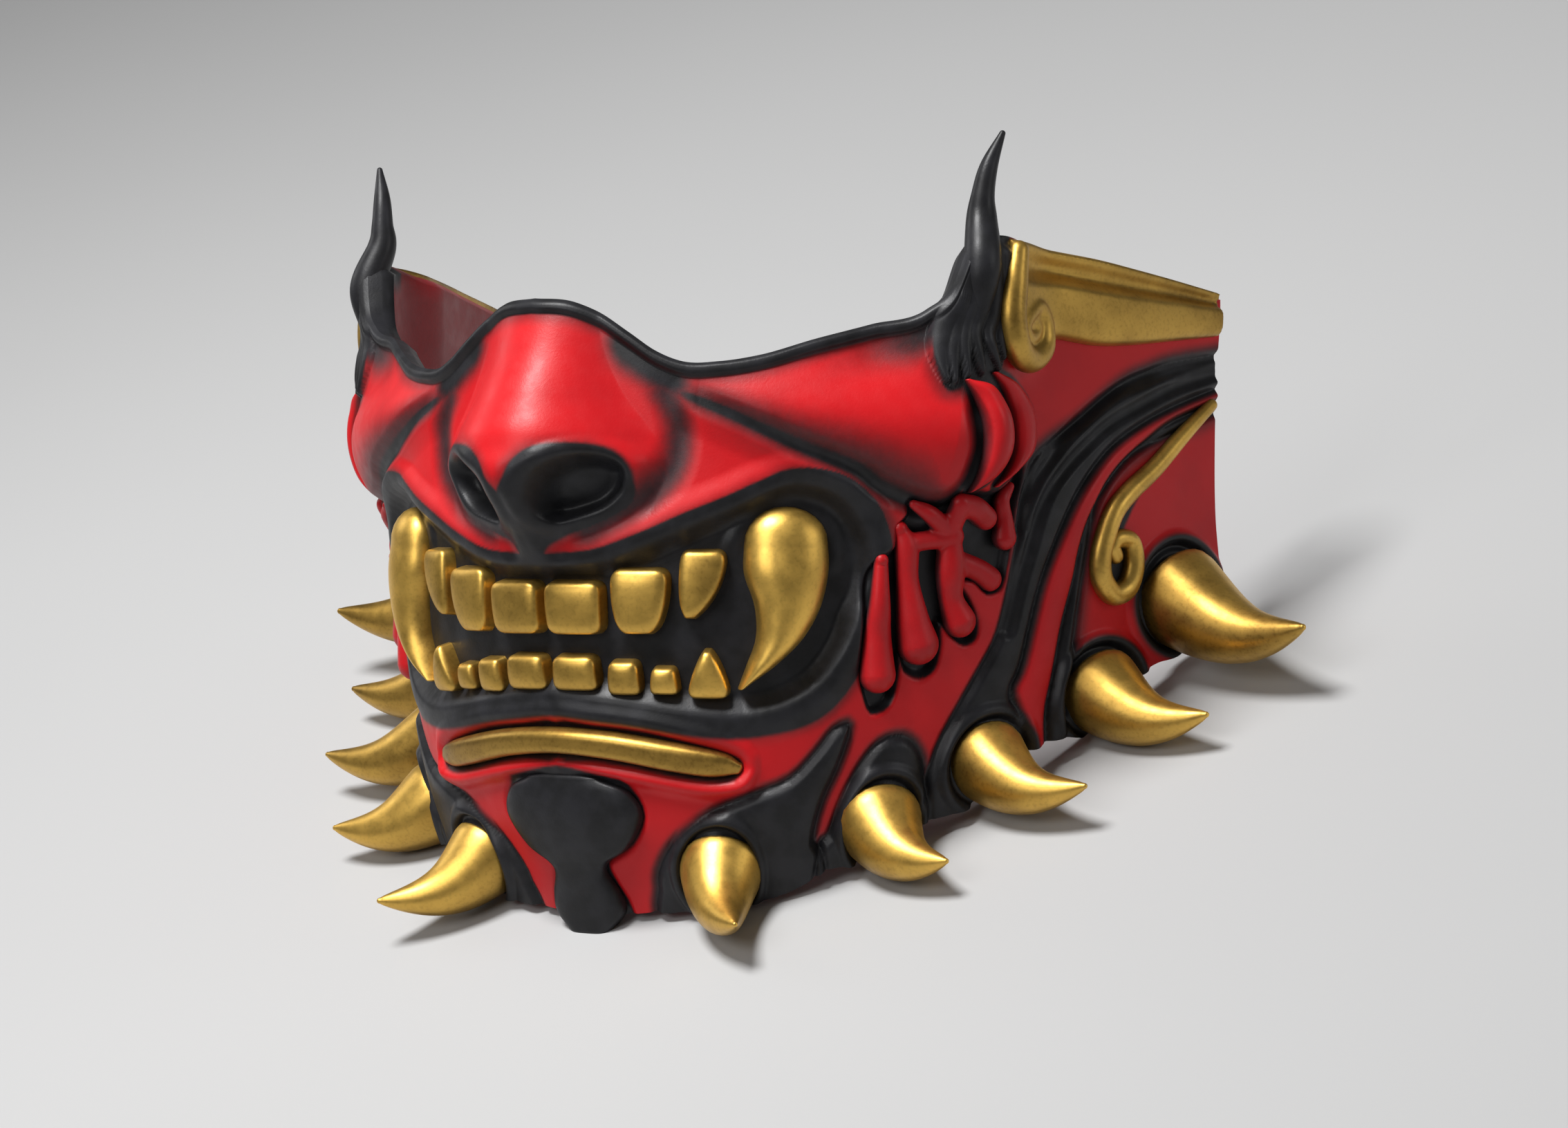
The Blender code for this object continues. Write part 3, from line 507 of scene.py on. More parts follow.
def edge_distance(points, outline):
    """Distance from each point to a closed outline, positive inside it."""
    starts = on_sheet(outline)
    ends = np.roll(starts, -1, axis=0)
    nearest = np.full(points.shape[:-1], np.inf)
    inside = np.zeros(points.shape[:-1], bool)
    x, y = points[..., 0], points[..., 1]
    for (ax, ay), (bx, by) in zip(starts, ends):
        run = (bx - ax) ** 2 + (by - ay) ** 2
        t = np.clip(((x - ax) * (bx - ax) + (y - ay) * (by - ay)) / run, 0, 1)
        nearest = np.minimum(nearest, np.hypot(x - ax - t * (bx - ax), y - ay - t * (by - ay)))
        if ay != by:
            inside ^= ((ay > y) != (by > y)) & (x < (bx - ax) * (y - ay) / (by - ay) + ax)
    return np.where(inside, nearest, -nearest)


def mouth_distance(points):
    """Distance from each point to the mouth's edge, positive inside. The mouth crosses the middle."""
    return edge_distance(points, np.concatenate([MOUTH, MOUTH[::-1][1:-1] * [-1, 1]]))


def normals(along, level, step=1e-3):
    """Outward unit normals of the plain shell."""
    across = base(along + step, level) - base(along - step, level)
    upward = base(along, level + step) - base(along, level - step)
    out = np.cross(across, upward)
    return out / np.linalg.norm(out, axis=-1, keepdims=True)


def nose(along, level, fullness=2.4, fall=1.5):
    reach, breadth = np.moveaxis(smooth_rows(level, NOSE), -1, 0)
    across = np.clip(np.abs(along) * GIRTH / (breadth * HALF_WIDTH), 0, 1)
    return NOSE_REACH * reach * (1 - across**fullness) ** fall


def cheek(along, level):
    (start_along, start_level, thin, low), (end_along, end_level, thick, high) = CHEEK
    start = on_sheet((start_along, start_level))
    run = on_sheet((end_along, end_level)) - start
    point = sheet_points(along, level) - start
    t = np.clip((point @ run) / (run @ run), 0, 1)
    away = np.linalg.norm(point - t[..., None] * run, axis=-1)
    radius = HEIGHT * (thin + t * (thick - thin))
    return CHEEK_REACH * (low + t * (high - low)) * mound(away / radius)


def temple(along, level):
    middle, breadth, start, full = TEMPLE
    return TEMPLE_REACH * ease(start, full, level) * mound((np.abs(along) - middle) / breadth)


def relief(along, level):
    """Height of the cast relief over the large forms."""
    points = sheet_points(along, level)
    mouth = mouth_distance(points)
    gum = GUM_DEPTH * ease(-EDGE_SOFTNESS, GUM_SLOPE, mouth)
    lip = LIP_RISE * mound((mouth + LIP_SETBACK) / LIP_WIDTH)
    nostril = NOSTRIL_DEPTH * ease(-EDGE_SOFTNESS, NOSTRIL_SLOPE, edge_distance(points, NOSTRIL))
    window = WINDOW_DEPTH * ease(-EDGE_SOFTNESS, WINDOW_SLOPE, edge_distance(points, WINDOW))
    return lip - gum - nostril - window


def outside(along, level, height=None):
    """Points of the outer surface, with the cast relief or another height over the large forms."""
    height = relief(along, level) if height is None else height
    lift = cheek(along, level) + temple(along, level) + height
    point = base(along, level) + normals(along, level) * lift[..., None]
    return point - nose(along, level)[..., None] * [0, 1, 0]


def inside(along, level):
    """Points of the inner surface, which follows the large forms and the mouth more gently."""
    gum = GUM_DEPTH * ease(-MOUTH_MARGIN, 0, mouth_distance(sheet_points(along, level)))
    lift = INNER_SHARE * (cheek(along, level) + temple(along, level)) - gum - WALL
    point = base(along, level) + normals(along, level) * lift[..., None]
    return point - INNER_SHARE * nose(along, level)[..., None] * [0, 1, 0]


def curve_through(rows, steps):
    """The rows resampled along a smooth curve through them."""
    keys = np.arange(len(rows), dtype=float)[:, None]
    return smooth_rows(np.linspace(0, len(rows) - 1, steps), np.hstack([keys, rows]))


def rounded(outline, steps=3):
    """A closed outline resampled along a smooth curve through its corners."""
    loop = np.concatenate([outline[-2:], outline, outline[:3]])
    fine = curve_through(loop, (len(loop) - 1) * steps + 1)
    return fine[2 * steps:(2 + len(outline)) * steps]


# The outlines that both surfaces share, drawn here as smooth curves
MOUTH = curve_through(MOUTH, MOUTH_CORNERS)
NOSTRIL = rounded(NOSTRIL, 4)
WINDOW = rounded(WINDOW)


def from_path(points, path):
    """Distance of each point from an open path, positive to its left, and the share along it, 0 to 1."""
    line = on_sheet(curve_through(path, 3 * len(path)))
    lengths = np.linalg.norm(np.diff(line, axis=0), axis=1)
    starts = np.concatenate([[0], np.cumsum(lengths)])
    distance = np.full(points.shape[:-1], np.inf)
    signed = np.zeros(points.shape[:-1])
    share = np.zeros(points.shape[:-1])
    for start, end, length, done in zip(line[:-1], line[1:], lengths, starts):
        run = (end - start) / length
        reach = np.clip((points - start) @ run, 0, length)
        away = points - start - reach[..., None] * run
        here = np.hypot(away[..., 0], away[..., 1])
        closer = here < distance
        left = np.where(run[0] * away[..., 1] - run[1] * away[..., 0] < 0, -1, 1)
        distance = np.where(closer, here, distance)
        signed = np.where(closer, here * left, signed)
        share = np.where(closer, (done + reach) / starts[-1], share)
    return signed, share


class Skin:
    """Relief over the plain shell and how black it is painted, in black paint and painted shade, built up
    feature by feature.
    """

    def __init__(self, along, level):
        self.along, self.level = np.abs(along), level
        self.points = sheet_points(along, level)
        self.down = (smooth_rows(self.along, TOP_EDGE)[..., 0] - level) * HEIGHT
        self.height = relief(along, level)
        self.black = np.zeros(self.along.shape)

    def inside(self, outline):
        """Distance inside a closed outline, drawn round its corners."""
        return edge_distance(self.points, rounded(outline))

    def path(self, rows):
        return from_path(self.points, rows)

    def from_place(self, along, level):
        away = self.points - on_sheet((along, level))
        return np.hypot(away[..., 0], away[..., 1])

    def lift(self, rise):
        self.height = self.height + rise

    def fold(self, rise, away, width):
        """A soft line of this rise, or depth if it is negative, and half width. It lies where away is 0."""
        self.lift(rise * mound(away / width))

    def darken(self, amount):
        self.black = np.maximum(self.black, amount)

    def fill(self, edge, away, most=1.0):
        """Black that starts and is full at the edge's two distances inside an outline."""
        self.darken(most * ease(*edge, away))

    def groove(self, path, depth, width, spread, shade=0.9):
        """A sunk line whose shading fades out at the spread."""
        away = self.path(path)[0]
        self.fold(-depth, away, width)
        self.darken(shade * mound(away / spread))

    def ridge(self, path, rise, width):
        signed, share = self.path(path)
        self.fold(rise * spell(share, 0, 0.12, 0.88, 1), signed, width)

    def pillow(self, left, right, rise, full):
        """A rounded band between two signed distances, of its full rise where it is wide enough."""
        inside = (left > 0) & (right > 0)
        width = np.maximum(left + right, TINY)
        share = np.clip(left / width, 0, 1)
        lift = rise * np.minimum(1, width / full) * np.sqrt(4 * share * (1 - share))
        self.lift(np.where(inside, lift, 0))
        return inside


def paint_rim(skin):
    """The rolled rim, black as far back as the gold bands, and the shade that gathers under it."""
    front = ease(*RIM_END, skin.along)
    roll = np.sqrt(np.clip(1 - (2 * skin.down / RIM_WIDTH - 1) ** 2, 0, 1))
    skin.lift(RIM_RISE * front * roll)
    skin.darken(front * ease(RIM_WIDTH + 0.0010, RIM_WIDTH - 0.0002, skin.down))
    skin.darken(0.55 * front * ease(RIM_WIDTH + RIM_SHADE_REACH, RIM_WIDTH, skin.down))
    for most, reach, places in (CHEEK_CORNER, NOSE_CORNER):
        skin.darken(most * spell(skin.along, *places) * ease(*reach, skin.down))


def paint_nose(skin):
    signed, share = skin.path(WING_CREASE)
    start = spell(share, 0.05, 0.22, 0.85, 1.0)
    skin.fold(-CREASE_DEPTH * ease(0.05, 0.40, share) * start, signed, 0.0056)
    skin.darken(0.80 * start * mound(signed / (0.0074 - 0.0012 * share)))
    nostril = edge_distance(skin.points, NOSTRIL)
    skin.fold(0.0008, nostril + 0.0018, 0.0028)
    black = skin.inside(NOSE_BLACK)
    skin.fill(NOSE_EDGE, black)
    skin.darken(0.5 * ease(*NOSE_HAZE, black) * ease(0.14, 0.10, skin.along))
    middle = ease(0.046, 0.004, skin.along) * ease(0.575, 0.660, skin.level) * ease(0.77, 0.69, skin.level)
    skin.lift(COLUMELLA_RISE * middle)
    skin.lift(-NOSTRIL_SINK * ease(-0.0004, 0.0022, nostril))
    skin.fold(-0.0009, skin.from_place(0.034, 0.612), 0.0042)


def paint_mouth(skin):
    """The black border of the lips, broad at the corners and below, and the ridge round each tusk."""
    mouth = mouth_distance(skin.points)
    corner = ease(0.28, 0.40, skin.along)
    below = ease(0.50, 0.42, skin.level)
    border = 0.0026 + 0.0020 * corner + 0.0018 * below
    fade = 0.0012 + 0.0012 * below
    skin.fold(-LIP_RISE * (0.35 * (1 - corner) + 0.35 * below), mouth + LIP_SETBACK, LIP_WIDTH)
    skin.darken(ease(-border - fade, -border + 0.0002, mouth))
    skin.darken((0.40 + 0.20 * corner) * ease(-border - 0.0035 - 0.0015 * corner, -border, mouth))
    skin.ridge(MOUTH_RIDGE, rise=0.0006, width=0.0030)


def paint_cheek(skin):
    """The crease under the cheek bulb, with black paint in it and painted shade on the bulb's underside. Its
    black reaches further on the bulb's side, which is its left.
    """
    signed, share = skin.path(CHEEK_CREASE)
    fade = spell(share, 0, 0.20, 0.93, 1.0)
    skin.fold(-BULB_DEPTH * fade * ease(0.08, 0.35, share), signed, 0.0038)
    end = ease(0.62, 0.78, share)
    bulb = 0.0022 + 0.0034 * ease(0.1, 0.6, share) - 0.0042 * end
    reach = np.where(signed > 0, bulb, 0.0034 - 0.0016 * end)
    skin.darken(fade * mound(signed / reach))
    skin.darken(0.75 * fade * mound(signed / np.where(signed > 0, 2.4 * bulb + 0.002, 1.8 * reach)))


def paint_window(skin):
    away = edge_distance(skin.points, WINDOW)
    skin.lift(-0.0010 * ease(0, 0.0012, away))
    skin.fill(WINDOW_EDGE, away)


def paint_ribbons(skin):
    """The black ribbons of the wing, the red strand between them and the shade on both sides."""
    top, left, right, low = (skin.path(rows)[0] for rows in RIBBON_EDGES)
    sweep = skin.pillow(top, -left, 0.8 * RIBBON_RISE, full=0.010)
    strand = skin.pillow(left, -right, RIBBON_RISE, full=0.006)
    last = skin.pillow(right, -low, RIBBON_RISE, full=0.005)
    for path in RIBBON_GROOVES:
        skin.groove(path, depth=0.0014, width=0.0026, spread=0.0024)
    for path in RIBBON_EDGES:
        skin.groove(path, depth=0.0007, width=0.0018, spread=0.0026)
    skin.darken(np.where(sweep | last, 1.0, 0.0))
    skin.darken(np.where(strand, 0.92 * mound(np.minimum(left, -right) / 0.0026), 0.0))
    upper = ease(0.56, 0.66, skin.level)
    skin.darken(np.where(top < 0, (0.45 + 0.45 * upper) * mound(top / (0.0030 + 0.0022 * upper)), 0.0))
    skin.darken(np.where(low > 0, 0.65 * mound(low / 0.0060), 0.0))


def paint_jaw(skin):
    """The two black leaves, the bed of the chin pad and the bed of the lip bar."""
    for outline in (LEAF_FRONT, LEAF_REAR):
        away = skin.inside(outline)
        skin.lift(LEAF_RISE * np.sqrt(1 - (1 - np.clip(away / LEAF_ROUNDING, 0, 1)) ** 2))
        skin.fold(-0.0007, away, 0.0020)
        skin.fill(LEAF_EDGE, away)
        skin.fill(LEAF_HAZE, away, most=0.85)
    pad = skin.inside(PAD_AREA)
    skin.fold(-0.0008, pad, 0.0020)
    skin.fill(PAD_EDGE, pad, most=0.9)
    skin.ridge(BAR_RIDGE, rise=0.0015, width=0.0034)
    bar = skin.inside(BAR_AREA)
    skin.lift(-0.0012 * ease(-0.0012, 0.0010, bar))
    skin.fold(0.0009, bar + 0.0030, 0.0028)
    skin.fill(BAR_EDGE, bar, most=0.85)


def paint_collars(skin):
    for along, level, radius, *_ in SPIKES:
        gap = skin.from_place(along, level) - radius * SPIKE_RADIUS
        skin.fold(COLLAR_RISE, gap - 0.0022, 0.0022)
        skin.fold(-0.0010, gap, 0.0014)
        skin.fill(COLLAR_EDGE, gap)


def paint_hair(skin):
    area = skin.inside(HAIR_AREA)
    skin.fill(HAIR_EDGE, area)
    skin.fill(HAIR_HAZE, area, most=0.6)
    lift = np.zeros(skin.along.shape)
    for path in HAIR_STRANDS:
        signed, share = skin.path(path)
        width = STRAND_WIDTH * ease(1.25, 0.45, share)
        strand = np.sqrt(np.clip(1 - (signed / width) ** 2, 0, 1))
        strand = strand * ease(0, 0.15, share) * ease(1.0, 0.97, share)
        lift = np.maximum(lift, strand * (1.3 - 0.5 * share))
    skin.lift(STRAND_RISE * lift * ease(0.0004, 0.0040, skin.down))
    skin.fill(CURL_EDGE, skin.inside(CURL_AREA))


def paint_crescents(skin):
    """Black shade round the red crescents behind the cheek."""
    for rows in CRESCENTS.values():
        outline = np.concatenate([rows[:, 0:2], rows[::-1, 2:4]])
        skin.fill(CRESCENT_EDGE, skin.inside(outline))


def dressed_skin(along, level):
    skin = Skin(along, level)
    for feature in (
        paint_rim, paint_nose, paint_mouth, paint_cheek, paint_window, paint_ribbons, paint_jaw,
        paint_collars, paint_hair, paint_crescents,
    ):
        feature(skin)
    return skin


def leaned(vectors):
    """Directions of the face turned back by its lean."""
    vectors = np.asarray(vectors, float)
    cosine, sine = math.cos(LEAN), math.sin(LEAN)
    y = vectors[..., 1] * cosine + vectors[..., 2] * sine
    z = vectors[..., 2] * cosine - vectors[..., 1] * sine
    return np.stack([vectors[..., 0], y, z], -1)


def stand(points):
    """Points of the face as it stands in the frame, kept above the floor."""
    points = leaned(points) + STAND
    points[..., 2] = np.maximum(points[..., 2], 0)
    return points


def placed(name, data):
    """A new object of the scene."""
    made = bpy.data.objects.new(name, data)
    bpy.context.scene.collection.objects.link(made)
    return made


def add_mesh(name, points, faces, paint, black=None, facing=None):
    data = bpy.data.meshes.new(name)
    data.from_pydata(stand(points), [], faces)
    data.shade_smooth()
    if facing is not None:
        data.normals_split_custom_set_from_vertices(leaned(facing))
    if black is not None:
        add_black(data, black)
    data.materials.append(paint)
    return placed(name, data)


def add_black(data, values):
    """The layer that says how black each point of a mesh is painted, in black paint and painted shade."""
    layer = data.attributes.new("black", "FLOAT", "POINT")
    layer.data.foreach_set("value", np.ascontiguousarray(values, np.float32).ravel())


def vertex_vectors(data, key):
    flat = np.empty(len(data.vertices) * 3, np.float32)
    data.vertices.foreach_get(key, flat)
    return flat.reshape(-1, 3).astype(float)


def hollowness(data, rounds=14):
    """How far each point of a mesh lies below its smoothed surroundings, in metres."""
    points, count = vertex_vectors(data, "co"), len(data.vertices)
    ends = np.empty(len(data.edges) * 2, np.int32)
    data.edges.foreach_get("vertices", ends)
    near, far = ends.reshape(-1, 2).T
    near, far = np.concatenate([near, far]), np.concatenate([far, near])
    links = np.maximum(np.bincount(near, minlength=count), 1)[:, None]
    soft = points
    for _ in range(rounds):
        soft = np.stack([np.bincount(near, soft[far, k], count) for k in range(3)], -1) / links
    return ((soft - points) * vertex_vectors(data, "normal")).sum(axis=1)


def shade_edges(data, most, least):
    """Paints shade on a piece: darker in its hollows and where its skin turns away from straight out of the
    face.
    """
    out = vertex_vectors(data, "co") - stand([0.0, FACE_HEART * DEPTH, 0.0])
    upright = leaned([0.0, 0.0, 1.0])
    out = out - np.outer(out @ upright, upright)
    out /= np.linalg.norm(out, axis=1, keepdims=True)
    facing = (vertex_vectors(data, "normal") * out).sum(axis=1)
    turned = most * ease(*TURNED_AWAY, facing)
    sunk = HOLLOW_SHADE * ease(*HOLLOW, hollowness(data))
    add_black(data, np.maximum(np.maximum(turned, sunk), least))


def dress(made, node):
    """Hides the part of model.glb that this piece stands in for, and hangs the piece on the one body."""
    if node:
        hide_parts(node)
    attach(made, "root")


def grid_faces(rows, columns):
    index = np.arange(rows * columns).reshape(rows, columns)
    return np.stack([index[:-1, :-1], index[:-1, 1:], index[1:, 1:], index[1:, :-1]], -1).reshape(-1, 4)


def sheet_grid(start, across, high, setback):
    along = np.linspace(start, 1, across + 1)[None, :] + np.zeros((high + 1, 1))
    share = np.linspace(0, 1, high + 1)[:, None]
    low = smooth_rows(np.abs(along), BOTTOM_EDGE)[..., 0] + setback
    top = smooth_rows(np.abs(along), TOP_EDGE)[..., 0] - setback
    return along, low + (top - low) * share


def half_normals(points):
    """Outward normals of the left half's grid, whose first column is the mask's middle."""
    across = np.gradient(points, axis=1)
    across[:, 0] = [1, 0, 0]
    out = np.cross(across, np.gradient(points, axis=0))
    return out / np.linalg.norm(out, axis=-1, keepdims=True)


def make_shell(paint):
    along, level = sheet_grid(0, CELLS_AROUND, CELLS_HIGH, 0)
    skin = dressed_skin(along, level)
    half = outside(along, level, skin.height)
    facing, faces = half_normals(half), grid_faces(*along.shape)
    for name, side in SIDES.items():
        flip = [side, 1, 1]
        points, out = (half * flip).reshape(-1, 3), (facing * flip).reshape(-1, 3)
        shell = add_mesh("face_skin_" + name, points, faces[:, ::side], paint, skin.black, out)
        dress(shell, "face_shell")
    make_lining(np.concatenate([half[:, :0:-1] * [-1, 1, 1], half], axis=1), paint)


def make_lining(outer, paint):
    """The inner surface, the edges that join it to the outer one and the two rear edges."""
    along, level = sheet_grid(-1, 2 * CELLS_AROUND, INNER_HIGH, EDGE_SETBACK / HEIGHT)
    behind = NOSTRIL_SINK * ease(*BEHIND_NOSTRIL, edge_distance(sheet_points(along, level), NOSTRIL))
    inner = inside(along, level) - normals(along, level) * behind[..., None]
    rims = [(outer[row] + inner[row]) / 2 + [0, 0, way * EDGE_BULGE] for row, way in ((0, -1), (-1, 1))]
    rows = np.concatenate([outer[:1], rims[:1], inner, rims[1:], outer[-1:]])
    # Painted shade all over the inner surface, and along its top the rim's black paint as far back as the rim
    black = np.full(rows.shape[:2], LINING_SHADE)
    black[-3:] = np.maximum(LINING_SHADE, ease(*LINING_RIM_END, np.abs(along[0])))
    faces = grid_faces(*rows.shape[:2])[:, ::-1]
    dress(add_mesh("face_lining", rows.reshape(-1, 3), faces, paint, black), None)
    for edge, name in ((0, "right"), (-1, "left")):
        strip = np.stack([outer[:, edge], resample(inner[:, edge], len(outer))], 1).reshape(-1, 3)
        black = np.full(len(strip), LINING_SHADE)
        made = add_mesh("rear_edge_" + name, strip, grid_faces(len(outer), 2), paint, black)
        dress(made, None)


def resample(line, count):
    share = np.linspace(0, len(line) - 1, count)
    return np.stack([np.interp(share, np.arange(len(line)), line[:, k]) for k in range(3)], -1)


def skinned(rings, poles):
    """Points and faces of closed rings in a run, ending in a pole at each end."""
    count = rings.shape[1]
    points = np.concatenate([rings.reshape(-1, 3), np.asarray(poles)])
    faces = []
    for k in range(len(rings) - 1):
        for i in range(count):
            j = (i + 1) % count
            faces.append([k * count + i, k * count + j, (k + 1) * count + j, (k + 1) * count + i])
    last = (len(rings) - 1) * count
    for i in range(count):
        j = (i + 1) % count
        faces.append([len(points) - 2, j, i])
        faces.append([len(points) - 1, last + i, last + j])
    return points, faces


def outward(made):
    work = bmesh.new()
    work.from_mesh(made.data)
    bmesh.ops.recalc_face_normals(work, faces=work.faces)
    work.to_mesh(made.data)
    work.free()
    return made


def cap_bends(count):
    """Angles of a round end's sections, from its last full one towards its pole."""
    return np.linspace(0, math.pi / 2, count + 2)[1:-1]


def tube_shape(path, radii, steps=48, around=20, foot=1.0):
    """A bar along a smooth curve through the path, with round ends, the first as flat as the foot's share."""
    fine = curve_through(np.column_stack([path, radii]), steps)
    centres, radii = fine[:, :3], fine[:, 3]
    ahead = np.gradient(centres, axis=0)
    ahead /= np.linalg.norm(ahead, axis=1, keepdims=True)
    turns = np.linspace(0, 2 * math.pi, around, endpoint=False)
    bends = cap_bends(4)
    sunk = ahead[0] * radii[0] * foot
    places = [(centres[0] - sunk * math.sin(b), ahead[0], radii[0] * math.cos(b)) for b in bends[::-1]]
    places += list(zip(centres, ahead, radii))
    tip = ahead[-1] * radii[-1]
    places += [(centres[-1] + tip * math.sin(b), ahead[-1], radii[-1] * math.cos(b)) for b in bends]
    side = np.cross(ahead[0], RING_START)
    rings = []
    for centre, direction, radius in places:
        side = side - direction * (side @ direction)
        side /= np.linalg.norm(side)
        other = np.cross(direction, side)
        rings.append(centre + radius * (np.cos(turns)[:, None] * side + np.sin(turns)[:, None] * other))
    return skinned(np.array(rings), [centres[0] - sunk, centres[-1] + tip])


def lifted(along, level, lift):
    """Places on the shell raised along its normals."""
    return outside(along, level) + normals(along, level) * lift[:, None]


def lying_tube(rows, side, steps=48, raised=0.0):
    """A tube that lies on the shell, sunk into it by a share of its radius."""
    rows = curve_through(rows, steps)
    path = lifted(side * rows[:, 0], rows[:, 1], rows[:, 2] * LIE_SHARE + raised)
    return tube_shape(path, rows[:, 2], steps)


def site(along, level, side):
    """A place on the shell and the directions out of it, to the rear and up."""
    at = np.array([side * along]), np.array([level])
    out = normals(*at)[0]
    rear = np.cross(np.array([0.0, 0.0, side]), out)
    rear /= np.linalg.norm(rear)
    return outside(*at)[0], out, rear, np.cross(out, rear) * side


def spike_shape(row, side, tip=0.07, body=0.93, fullness=1.1, taper=0.85):
    along, level, radius, *reaches = row
    reach, shift, fall = np.multiply(reaches, SPIKE_REACH)
    foot, out, rear, up = site(along, level, side)
    share = np.linspace(-SEAT / reach, 1, SPIKE_STATIONS)[:, None]
    sag = SPIKE_DROP * reach * np.sin(math.pi * share) + fall * share
    path = foot + out * reach * share + rear * shift * share**2 - up * sag
    slim = (1 - np.clip(share[:, 0], 0, 1) ** fullness) ** taper
    return tube_shape(path, radius * SPIKE_RADIUS * (tip + body * slim), 64, 28, foot=FLAT_FOOT)


def horn_shape(side):
    along, level, lift, foot_radius = sized(HORN_FOOT, HORN_RADIUS, 2).T
    tip = HORN_TIP[:, :3] * [side * HALF_WIDTH, DEPTH, HEIGHT]
    radii = np.concatenate([foot_radius, HORN_RADIUS * HORN_TIP[:, 3]])
    return tube_shape(np.concatenate([lifted(side * along, level, lift), tip]), radii, 64, 24)


def strip_shape(rows, side, steps=56, around=18, roundness=2.4, ends=(0.8, 0.8), carved=0.0):
    """A strip laid on the shell with a rounded face and rounded ends."""
    rows = curve_through(rows, steps)
    starts, finishes = on_sheet(rows[:, 0:2]), on_sheet(rows[:, 2:4])
    middle, half, rise = (starts + finishes) / 2, (finishes - starts) / 2, rows[:, 4]
    caps, poles = [], []
    for end, other, share in ((0, 1, ends[0]), (-1, -2, ends[1])):
        away = middle[end] - middle[other]
        away = away / np.linalg.norm(away) * np.linalg.norm(half[end]) * share
        poles.append(middle[end] + away)
        caps.append([
            (middle[end] + away * math.sin(b), half[end] * math.cos(b), rise[end] * math.cos(b))
            for b in cap_bends(5)
        ])
    sections = caps[0][::-1] + list(zip(middle, half, rise)) + caps[1]
    shares = np.linspace(-1, 1, around)
    profile = (1 - np.abs(shares) ** roundness) ** (1 / 2)
    (valley, wide), (swell, broad, full) = BAND_VALLEY, BAND_SWELL
    profile = profile - carved * (mound((shares - valley) / wide) - full * mound((shares - swell) / broad))
    rings = []
    for centre, reach, rise in sections:
        places = (centre + reach * shares[:, None]) / [GIRTH, HEIGHT]
        along, level = side * places[:, 0], places[:, 1]
        ground, out = outside(along, level), normals(along, level)
        front = ground + out * (rise * profile)[:, None]
        back = ground - out * SEAT
        rings.append(np.concatenate([front, back[::-1][1:-1]]))
    tips = [outside(side * p[0] / GIRTH, p[1] / HEIGHT) for p in np.array(poles)]
    return skinned(np.array(rings), tips)


def rounded_cube(cells, rounding):
    """Points and faces of a cube of half side 1 with round edges, finer towards them."""
    ticks = np.sin(np.linspace(-math.pi / 2, math.pi / 2, cells + 1))
    a, b = (grid.ravel() for grid in np.meshgrid(ticks, ticks, indexing="ij"))
    points, faces = [], []
    for axes in ((0, 1, 2), (1, 2, 0), (2, 0, 1)):
        for way in (-1, 1):
            face = np.zeros((len(a), 3))
            face[:, axes[0]], face[:, axes[1]], face[:, axes[2]] = way, a, b
            faces += (grid_faces(cells + 1, cells + 1)[:, ::way] + sum(map(len, points))).tolist()
            points.append(face)
    cube = np.concatenate(points)
    core = np.clip(cube, rounding - 1, 1 - rounding)
    away = cube - core
    return core + rounding * away / np.maximum(np.linalg.norm(away, axis=1, keepdims=True), TINY), faces


def tooth_shape(row, side, swell, shift_bend=1.8, crowning=0.10):
    """A tapered block standing on the gum with broad round edges. Its cube's axes are out, up and rear."""
    along, level, *breadths, length, thick = row
    root, end, shift = np.multiply(breadths, TOOTH_BREADTH)
    middle, out, rear, up = site(along, level, side)
    cube, faces = rounded_cube(cells=14, rounding=0.38)
    share = np.clip((1 - cube[:, 1]) / 2, 0, 1)
    breadth = root + (end - root) * share**swell
    taper = TOOTH_FOOT - TOOTH_TAPER * (1 + cube[:, 0])
    sideways = shift * share**shift_bend + cube[:, 2] * breadth * taper
    crown = 1 - crowning * (cube[:, 1] ** 2 + cube[:, 2] ** 2)
    depth = -SEAT + (thick * TOOTH_THICK + SEAT) * (cube[:, 0] + 1) / 2 * crown
    height = length * HEIGHT / 2 * cube[:, 1] * taper
    return middle + out * depth[:, None] + up * height[:, None] + rear * sideways[:, None], faces


def melted(name, shapes, paint):
    """Several overlapping shapes fused into one smooth skin."""
    points, faces = [], []
    for shape, skin in shapes:
        start = sum(map(len, points))
        faces += [[start + i for i in face] for face in skin]
        points.append(shape)
    rough = outward(add_mesh(name + "_rough", np.concatenate(points), faces, paint))
    remesh = rough.modifiers.new("Fuse", "REMESH")
    remesh.mode = "VOXEL"
    remesh.voxel_size = VOXEL
    smooth = rough.modifiers.new("Soften", "SMOOTH")
    smooth.factor = 0.5
    smooth.iterations = 6
    graph = bpy.context.evaluated_depsgraph_get()
    data = bpy.data.meshes.new_from_object(rough.evaluated_get(graph))
    bpy.data.objects.remove(rough)
    data.name = name
    data.shade_smooth()
    data.materials.clear()
    data.materials.append(paint)
    return placed(name, data)


